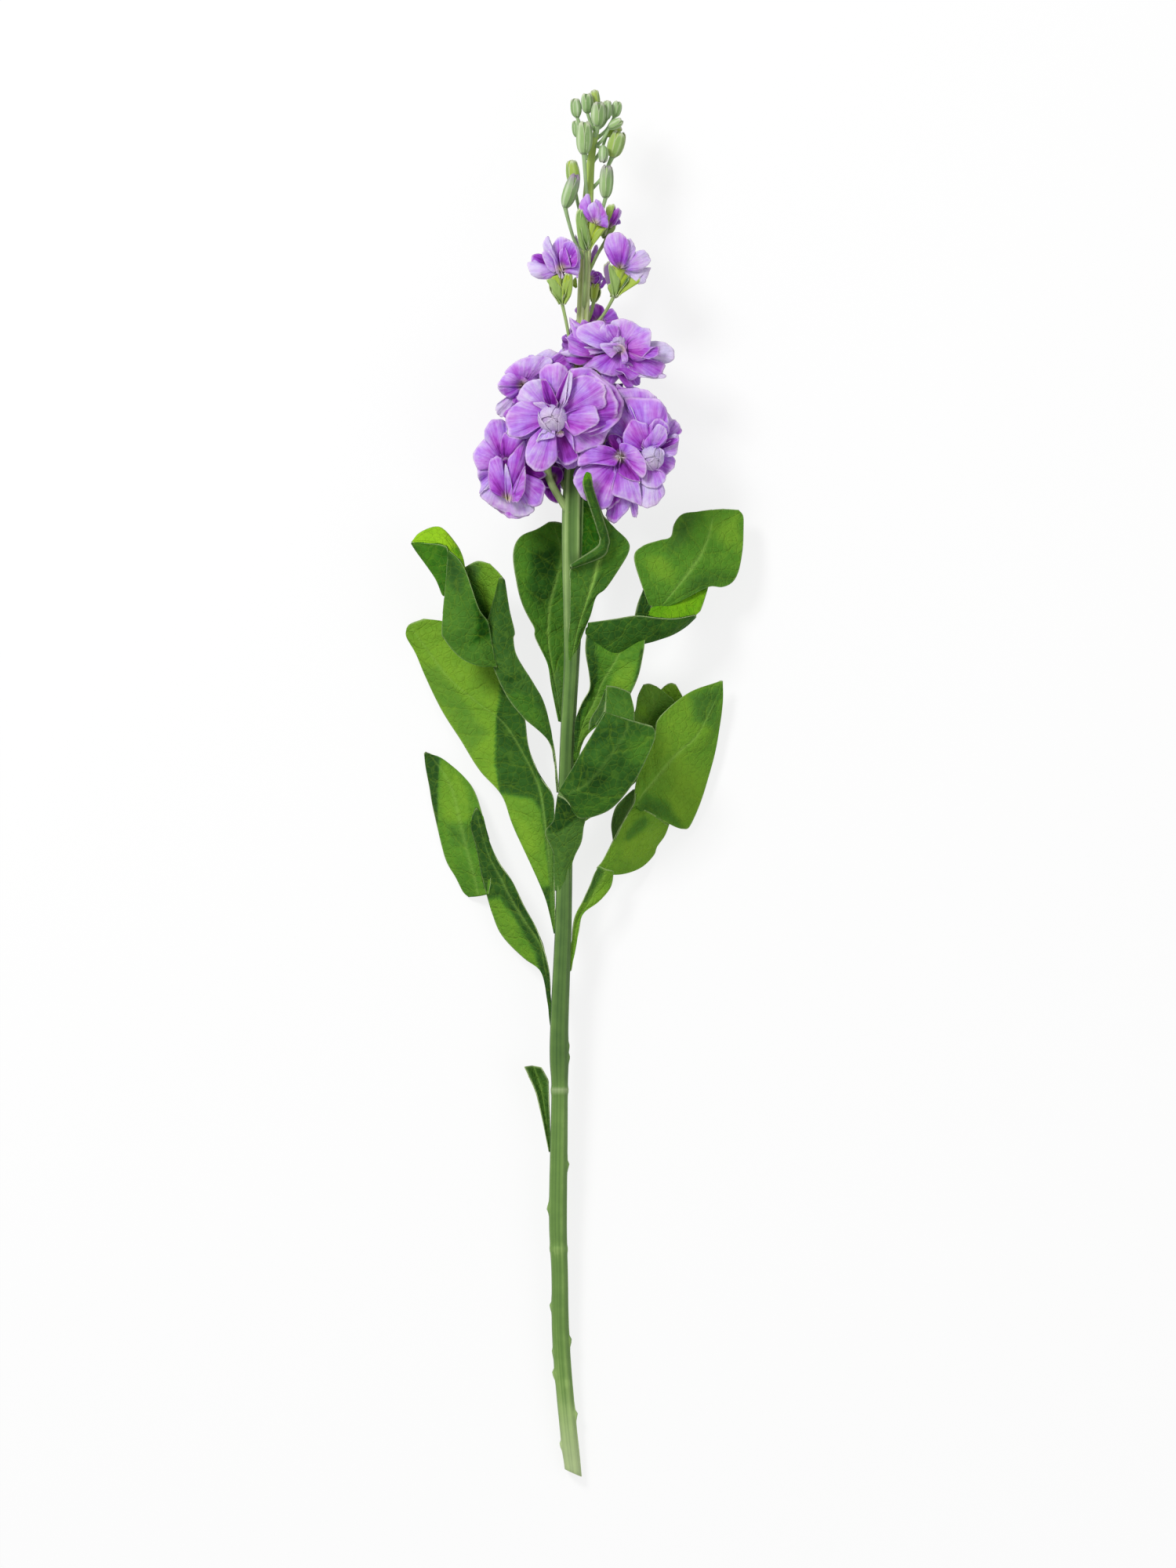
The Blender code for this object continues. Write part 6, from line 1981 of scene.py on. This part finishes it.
@dataclass
class Floret:
    """An open double floret: stalk, calyx and sepals, whorls of petals and a tight centre.

    Each whorl is given as count, opening in degrees, share of the floret's reach, and tone.
    """

    name: str
    centre: np.ndarray
    axis: np.ndarray
    reach: float
    start: Row
    stem: Stem
    rng: np.random.Generator
    whorls: tuple[Row, ...] = (
        (7, 98.0, 0.80, 0.36), (7, 80.0, 0.76, 0.40), (6, 60.0, 0.68, 0.42), (5, 38.0, 0.55, 0.45),
    )
    innermost: Row = (5, 18.0, 1.05, 0.6)
    petal_width: float = 0.62
    petal_foot: float = 1.5
    hidden_height: float = 3.0
    calyx_top: float = 1.3
    calyx_length: float = 10.0
    stalk_radii: Row = (1.3, 1.2)
    calyx_radii: Row = (1.0, 2.3, 2.5, 2.2)
    long_stalk_girth: float = 1.3
    sepal_radius: float = 2.7
    sepal_spread: float = 1.2
    ball_petals: int = 7
    small_ball: float = 3.0

    def petals(self) -> list[Petal | DrawnPetal]:
        """Gathers the petals that show from above, and those behind and under them.

        Returns:
            The petals.
        """
        faces_up = self.axis[2] > 0.0
        foot = self.centre - self.axis * self.petal_foot
        found = []
        for count, opening, share, tone in self.whorls + (() if faces_up else (self.innermost,)):
            whorl = Whorl(count, opening, self.reach * share, self.reach * self.petal_width, tone)
            found += whorl.petals(foot, self.axis, self.rng)
        if faces_up:
            found = [petal for petal in found if petal.tip[2] <= self.centre[2] + self.hidden_height]
        return found + DrawnPetal.from_table(SHOWN_PETALS.get(self.name, ()), float(len(self.name)))

    def ball(self, middle: Row, radius: float) -> Piece:
        """Builds the overlapping innermost petals, wrapped round each other into a ball.

        Args:
            middle: The ball's middle.
            radius: Its radius.

        Returns:
            The ball.
        """
        parts = []
        up = unit(self.axis * 0.35 + UP)
        side = unit(np.cross(up, (0.2, 1.0, 0.1)))
        over = np.cross(up, side)
        s, v = sheet_grid(17, 15)
        for number in range(self.ball_petals):
            size = radius * (1.0 - 0.03 * number)
            polar = 2.5 - v * (1.8 + 0.3 * number) * (1.0 - 0.10 * s**2)
            around = 2.4 * number + 0.8 + s * 1.15 * np.sqrt(as_share(1.0 - 0.75 * v**3))
            outer = np.maximum(np.abs(s), v)
            lift = size * (0.97 + 0.05 * as_share((outer - 0.75) / 0.25) ** 2)
            lift = lift * (1.0 + 0.02 * ripple(number + 1.0, v * 4.0, s * 3.0))
            ring = np.cos(around)[..., None] * side + np.sin(around)[..., None] * over
            points = np.array(middle) + lift[..., None] * (
                np.sin(polar)[..., None] * ring + np.cos(polar)[..., None] * up)
            cream = (0.1 if number % 3 == 0 else 0.0) + (0.6 if radius < self.small_ball else 0.0)
            marks = {
                "tone": 0.75 + 0.25 * v,
                "rim": as_share((outer - 0.9) / 0.1),
                "claw": cream * (1.0 - 0.6 * v),
            }
            sheet = grid_piece(f"{self.name}_ball_{number}", points, marks)
            thicken(sheet, 0.3)
            parts.append(sheet)
        return join(parts, f"floret_{self.name}_ball")

    def calyx(self) -> Piece:
        """Builds the stalk, the calyx at its end and the sepals.

        Returns:
            The three as one piece.
        """
        top = self.centre - self.axis * self.calyx_top
        base = top - self.axis * self.calyx_length
        foot = self.stem.foot_of_stalk(self.start)
        bend = np.array(STALK_WAYS.get(self.name, foot * 0.45 + base * 0.55 - self.axis * 1.5))
        centres = np.array([foot, bend, base, base + (top - base) * 0.3, base + (top - base) * 0.75, top])
        long_stalk = self.name in STALK_WAYS
        girth = self.long_stalk_girth if long_stalk else 1.0
        radii = np.array([*(radius * girth for radius in self.stalk_radii), *self.calyx_radii])
        parts = [Stalk(centres, radii, 0.35 if long_stalk else 0.6, 0.25).build(f"floret_{self.name}_stalk")]
        found = sepals(base, top + self.axis, self.sepal_radius, self.sepal_spread, 20.0)
        parts += [green_sheet(sepal, f"floret_{self.name}_sepal_{n}", 0.35) for n, sepal in enumerate(found)]
        return join(parts, f"floret_{self.name}_green")

    def build(self, petal: Material, green: Material) -> None:
        """Builds the floret's pieces.

        Args:
            petal: The petals' finish.
            green: The calyx's finish.
        """
        parts = [found.build(f"{self.name}_petal_{n}") for n, found in enumerate(self.petals())]
        settle(join(parts, f"floret_{self.name}_corolla"), f"floret_{self.name}_petals", [petal])
        settle(self.calyx(), f"floret_{self.name}_calyx", [green])
        if self.name in CENTRES:
            settle(self.ball(*CENTRES[self.name]), f"floret_{self.name}_centre", [petal])


@dataclass
class Opening:
    """A flower that is just opening: stalk, calyx with its sepals, and a few petals.

    Each whorl is given as count, opening in degrees, share of the flower's reach, and tone.
    """

    name: str
    start: Row
    way_point: np.ndarray
    base: np.ndarray
    top: np.ndarray
    radius: float
    stem: Stem
    rng: np.random.Generator
    whorls: tuple[Row, ...] = ((5, 42.0, 0.95, 0.45), (4, 22.0, 0.9, 0.5))
    reach_share: float = 1.25
    petal_width: float = 0.62
    petal_foot: float = 2.0
    hidden_height: float = 1.0
    calyx_share: float = 0.22

    def petals(self) -> list[Petal | DrawnPetal]:
        """Gathers the petals that show from above, and those behind them.

        Returns:
            The petals.
        """
        axis = unit(self.top - self.base)
        reach = self.radius * self.reach_share
        found = DrawnPetal.from_table(OPENING_PETALS[self.name], 2.0)
        for count, opening, share, tone in self.whorls:
            whorl = Whorl(count, opening, reach * share, reach * self.petal_width, tone)
            behind = whorl.petals(self.top - axis * self.petal_foot, axis, self.rng)
            found += [petal for petal in behind if petal.tip[2] < self.top[2] + self.hidden_height]
        return found

    def calyx(self) -> Piece:
        """Builds the stalk, the calyx and its sepals.

        Returns:
            The three as one piece.
        """
        foot = self.stem.foot_of_stalk(self.start)
        wide = self.radius * self.calyx_share
        span = self.top - self.base
        head = [self.base + span * share for share in (0.0, 0.25, 0.6, 1.0)]
        centres = np.array([foot, self.way_point, *head])
        radii = np.array((0.8, 0.7, 0.85, wide * 0.8, wide, wide * 1.2))
        parts = [Stalk(centres, radii, 0.75, 0.8).build(f"opening_{self.name}_stalk")]
        below = sepals(self.base, self.top, wide * 1.1, wide * 0.45, 45.0)
        for number, sepal in list(enumerate(below))[2:]:
            parts.append(green_sheet(sepal, f"opening_{self.name}_sepal_{number}", 0.4))
        for number, sepal in enumerate(DrawnPetal.from_table(OPENING_SEPALS[self.name], 4.0)):
            lime, purple, sepal.tone, sepal.ruffle = sepal.tone, sepal.ruffle, 0.5, 0.1
            parts.append(green_sheet(sepal, f"opening_{self.name}_shown_{number}", lime, purple))
        return join(parts, f"opening_{self.name}_green")

    def build(self, petal: Material, green: Material) -> None:
        """Builds the flower's two pieces.

        Args:
            petal: The petals' finish.
            green: The calyx's finish.
        """
        parts = [found.build(f"{self.name}_petal_{n}") for n, found in enumerate(self.petals())]
        settle(join(parts, f"opening_{self.name}_corolla"), f"opening_{self.name}_petals", [petal])
        settle(self.calyx(), f"opening_{self.name}_calyx", [green])


@dataclass
class Bud:
    """A closed bud of four downy sepals on its stalk; its shape is its widths at shares of its length."""

    name: str
    start: Row
    base: np.ndarray
    tip: np.ndarray
    radius: float
    purple: float
    yellow: float
    stem: Stem
    shares: Row = (0.0, 0.10, 0.25, 0.45, 0.65, 0.82, 0.93, 1.0)
    widths: Row = (0.34, 0.70, 0.92, 1.0, 0.97, 0.86, 0.68, 0.36)
    stalk_radii: Row = (0.85, 0.72)
    sepal_thickness: float = 0.16

    def build(self, finish: Material) -> None:
        """Builds the bud and its stalk.

        Args:
            finish: Its skin.
        """
        foot = self.stem.foot_of_stalk(self.start)
        bend = foot * 0.45 + self.base * 0.55 + np.array((0.0, -0.12, 0.0)) * np.linalg.norm(self.base - foot)
        head = [self.base + (self.tip - self.base) * share for share in self.shares]
        centres = np.array([foot, bend, *head])
        radii = np.array([*self.stalk_radii, *(self.radius * w for w in self.widths)])
        stalk = Stalk(centres, radii, 0.3, self.yellow, self.purple, seams=0.13, sides=32)
        parts = [stalk.build(f"{self.name}_core")] + [self.sepal(number) for number in range(4)]
        settle(join(parts, f"{self.name}_closed"), self.name, [finish])

    def sepal(self, number: int) -> Piece:
        """Builds one of the four sepals that wrap the bud, pale along its margins.

        Args:
            number: Which of the four.

        Returns:
            The sepal.
        """
        axis = unit(self.tip - self.base)
        side = unit(np.cross(axis, UP))
        over = np.cross(side, axis)
        long = float(np.linalg.norm(self.tip - self.base))
        outer = number % 2
        s, t = sheet_grid(13, 15)
        lean = math.radians(90.0 * number + 25.0 + 40.0 * math.sin(long * 7.0))
        around = lean + s * 0.9 * np.sqrt(1.0 - 0.9 * t**3)
        wide = self.radius * np.interp(t, self.shares, self.widths) + 0.1 + 0.14 * outer
        wide = wide + 0.12 * np.exp(-((s / 0.22) ** 2))
        wide = wide + 0.16 * fade(0.8, 1.0, t) * self.radius * (1.0 - s * s)
        ring = np.cos(around)[..., None] * side + np.sin(around)[..., None] * over
        points = self.base + axis * (long * (1.0 + 0.03 * outer) * t)[..., None] + ring * wide[..., None]
        rim = as_share((np.maximum(np.abs(s), t) - 0.84) / 0.12) * fade(0.1, 0.4, t)
        crest = np.exp(-((s / 0.2) ** 2))
        marks = {
            "tint": 0.32 + 0.25 * outer + 0.5 * crest + 0.4 * rim,
            "lime": self.yellow * (0.35 + 0.4 * outer) * (1.0 - 0.7 * rim),
            "purple": self.purple * fade(0.45, 1.0, t) * (0.55 + 0.45 * rim) + 0.25 * fade(0.86, 1.0, t),
            "bare": 0.75 * rim * (1.0 - 0.7 * self.purple * fade(0.5, 1.0, t)),
        }
        sheet = grid_piece(f"{self.name}_sepal_{number}", points, marks)
        thicken(sheet, self.sepal_thickness)
        return sheet


# ---------------------------------------------------------------- studio


@dataclass
class Studio:
    """A pale floor, soft lamps and the camera straight above the stem.

    The camera's measures are in millimetres, and the lamps' and the floor's in metres. A lamp is
    given as its name, place, side and power.
    """

    middle: Row = (5.8, 0.5, 25.0)
    height: float = 9000.0
    view_height: float = 680.0
    sensor: float = 24.0
    floor_side: float = 9.0
    floor_shade: str = "f4f4f4"
    floor_white: float = 0.8
    sky_strength: float = 0.45
    lamps: tuple = (
        ("key_lamp", (-0.9, 1.0, 1.5), 0.5, 27.0),
        ("fill_lamp", (1.2, -0.4, 1.5), 1.4, 7.0),
    )
    lamps_aim: Row = (0.0, 0.1, 0.03)
    white: Colour = (1.0, 1.0, 1.0, 1.0)

    def floor(self) -> None:
        """Builds the floor, which keeps the shadow and shows white."""
        select()
        bpy.ops.mesh.primitive_plane_add(size=self.floor_side, location=(0.0, 0.0, 0.0))
        ground = bpy.context.object
        ground.name = "floor"
        book = NodeBook(bpy.data.materials.new("floor"))
        camera, gloss, glass = self.rays(book, "Is Camera Ray", "Is Glossy Ray", "Is Transmission Ray")
        seen = (camera + gloss + glass).clamped()
        matt = book.node("ShaderNodeBsdfDiffuse", None, {"Color": shade(self.floor_shade)}).outputs[0]
        white = book.node("ShaderNodeEmission", None, {"Color": self.white, "Strength": 1.0}).outputs[0]
        surface = book.blend(seen * self.floor_white, matt, white)
        book.node("ShaderNodeOutputMaterial", None, {"Surface": surface})
        ground.data.materials.append(book.owner)

    @staticmethod
    def rays(book: NodeBook, *kinds: str) -> list[Value]:
        """For each kind of ray, 1 where the ray is of that kind, else 0."""
        path = book.node("ShaderNodeLightPath")
        return [Value(book, path.outputs[kind]) for kind in kinds]

    def sky(self) -> None:
        """White all round where it is seen, and softer where it lights the flower."""
        world = bpy.data.worlds.new("studio")
        bpy.context.scene.world = world
        book = NodeBook(world)
        seen = book.maths("MAXIMUM", *self.rays(book, "Is Camera Ray", "Is Glossy Ray"))
        soft, full = (
            book.node("ShaderNodeBackground", None, {"Color": self.white, "Strength": strength}).outputs[0]
            for strength in (self.sky_strength, 1.0)
        )
        book.node("ShaderNodeOutputWorld", None, {"Surface": book.blend(seen, soft, full)})

    def lamp(self, name: str, place: Row, side: float, power: float) -> None:
        """Adds a soft square lamp that shines at the flower.

        Args:
            name: Its name.
            place: Its place.
            side: The length of its side.
            power: Its power in watts.
        """
        bpy.ops.object.light_add(type="AREA", location=place)
        light = bpy.context.object
        light.name = name
        light.data.size = side
        light.data.energy = power
        away = np.array(place) - np.array(self.lamps_aim)
        tilt = math.atan2(math.hypot(away[0], away[1]), away[2])
        light.rotation_euler = (tilt, 0.0, math.atan2(away[1], away[0]) + math.pi / 2.0)

    def camera(self) -> None:
        """The camera, straight above, with the stem's tip at the top of its view."""
        bpy.ops.object.camera_add(location=(self.middle[0] * MM, self.middle[1] * MM, self.height * MM))
        eye = bpy.context.object
        eye.rotation_euler = (0.0, 0.0, 0.0)
        eye.data.sensor_fit = "VERTICAL"
        eye.data.sensor_height = self.sensor
        eye.data.lens = self.sensor * (self.height - self.middle[2]) / self.view_height
        eye.data.clip_end = 50.0
        bpy.context.scene.camera = eye

    def build(self) -> None:
        """Sets the whole studio."""
        self.floor()
        self.sky()
        for lamp in self.lamps:
            self.lamp(*lamp)
        self.camera()
        bpy.context.scene.view_settings.view_transform = "Standard"


def main() -> None:
    """Builds every piece in order."""
    logging.basicConfig(level=logging.INFO, format="%(message)s", force=True)
    rng = np.random.default_rng(SEED)
    faces = [LeafFinish().build(face) for face in (LeafFace.TOP, LeafFace.UNDER, LeafFace.RIM)]
    petal = PetalFinish().build()
    stem_green = GreenFinish("stem_skin", ("446430", "6f9349", "b0d07a"), 0.15, 0.75).build()
    bud_green = GreenFinish("bud_skin", ("60824c", "8db06f", "c4d6b0"), 0.4).build()
    calyx_green = GreenFinish("calyx_skin", ("5a843e", "8fae62", "c0d294"), 0.3, 0.7).build()

    stem = Stem()
    stem.build(stem_green)
    for name, sheets in LEAVES.items():
        Leaf(name, sheets, PATCHES.get(name, ())).build(faces)
    for name, (centre, axis, reach, start) in FLORETS.items():
        floret = Floret(name, np.array(centre), unit(np.array(axis)), reach, start, stem, rng)
        floret.build(petal, calyx_green)
    for name, (start, way, base, top, radius) in HALF_OPEN.items():
        flower = Opening(name, start, np.array(way), np.array(base), np.array(top), radius, stem, rng)
        flower.build(petal, calyx_green)
    for name, (start, base, tip, radius, purple, yellow) in BUDS.items():
        Bud(name, start, np.array(base), np.array(tip), radius, purple, yellow, stem).build(bud_green)
    Studio().build()


if __name__ == "__main__":
    main()
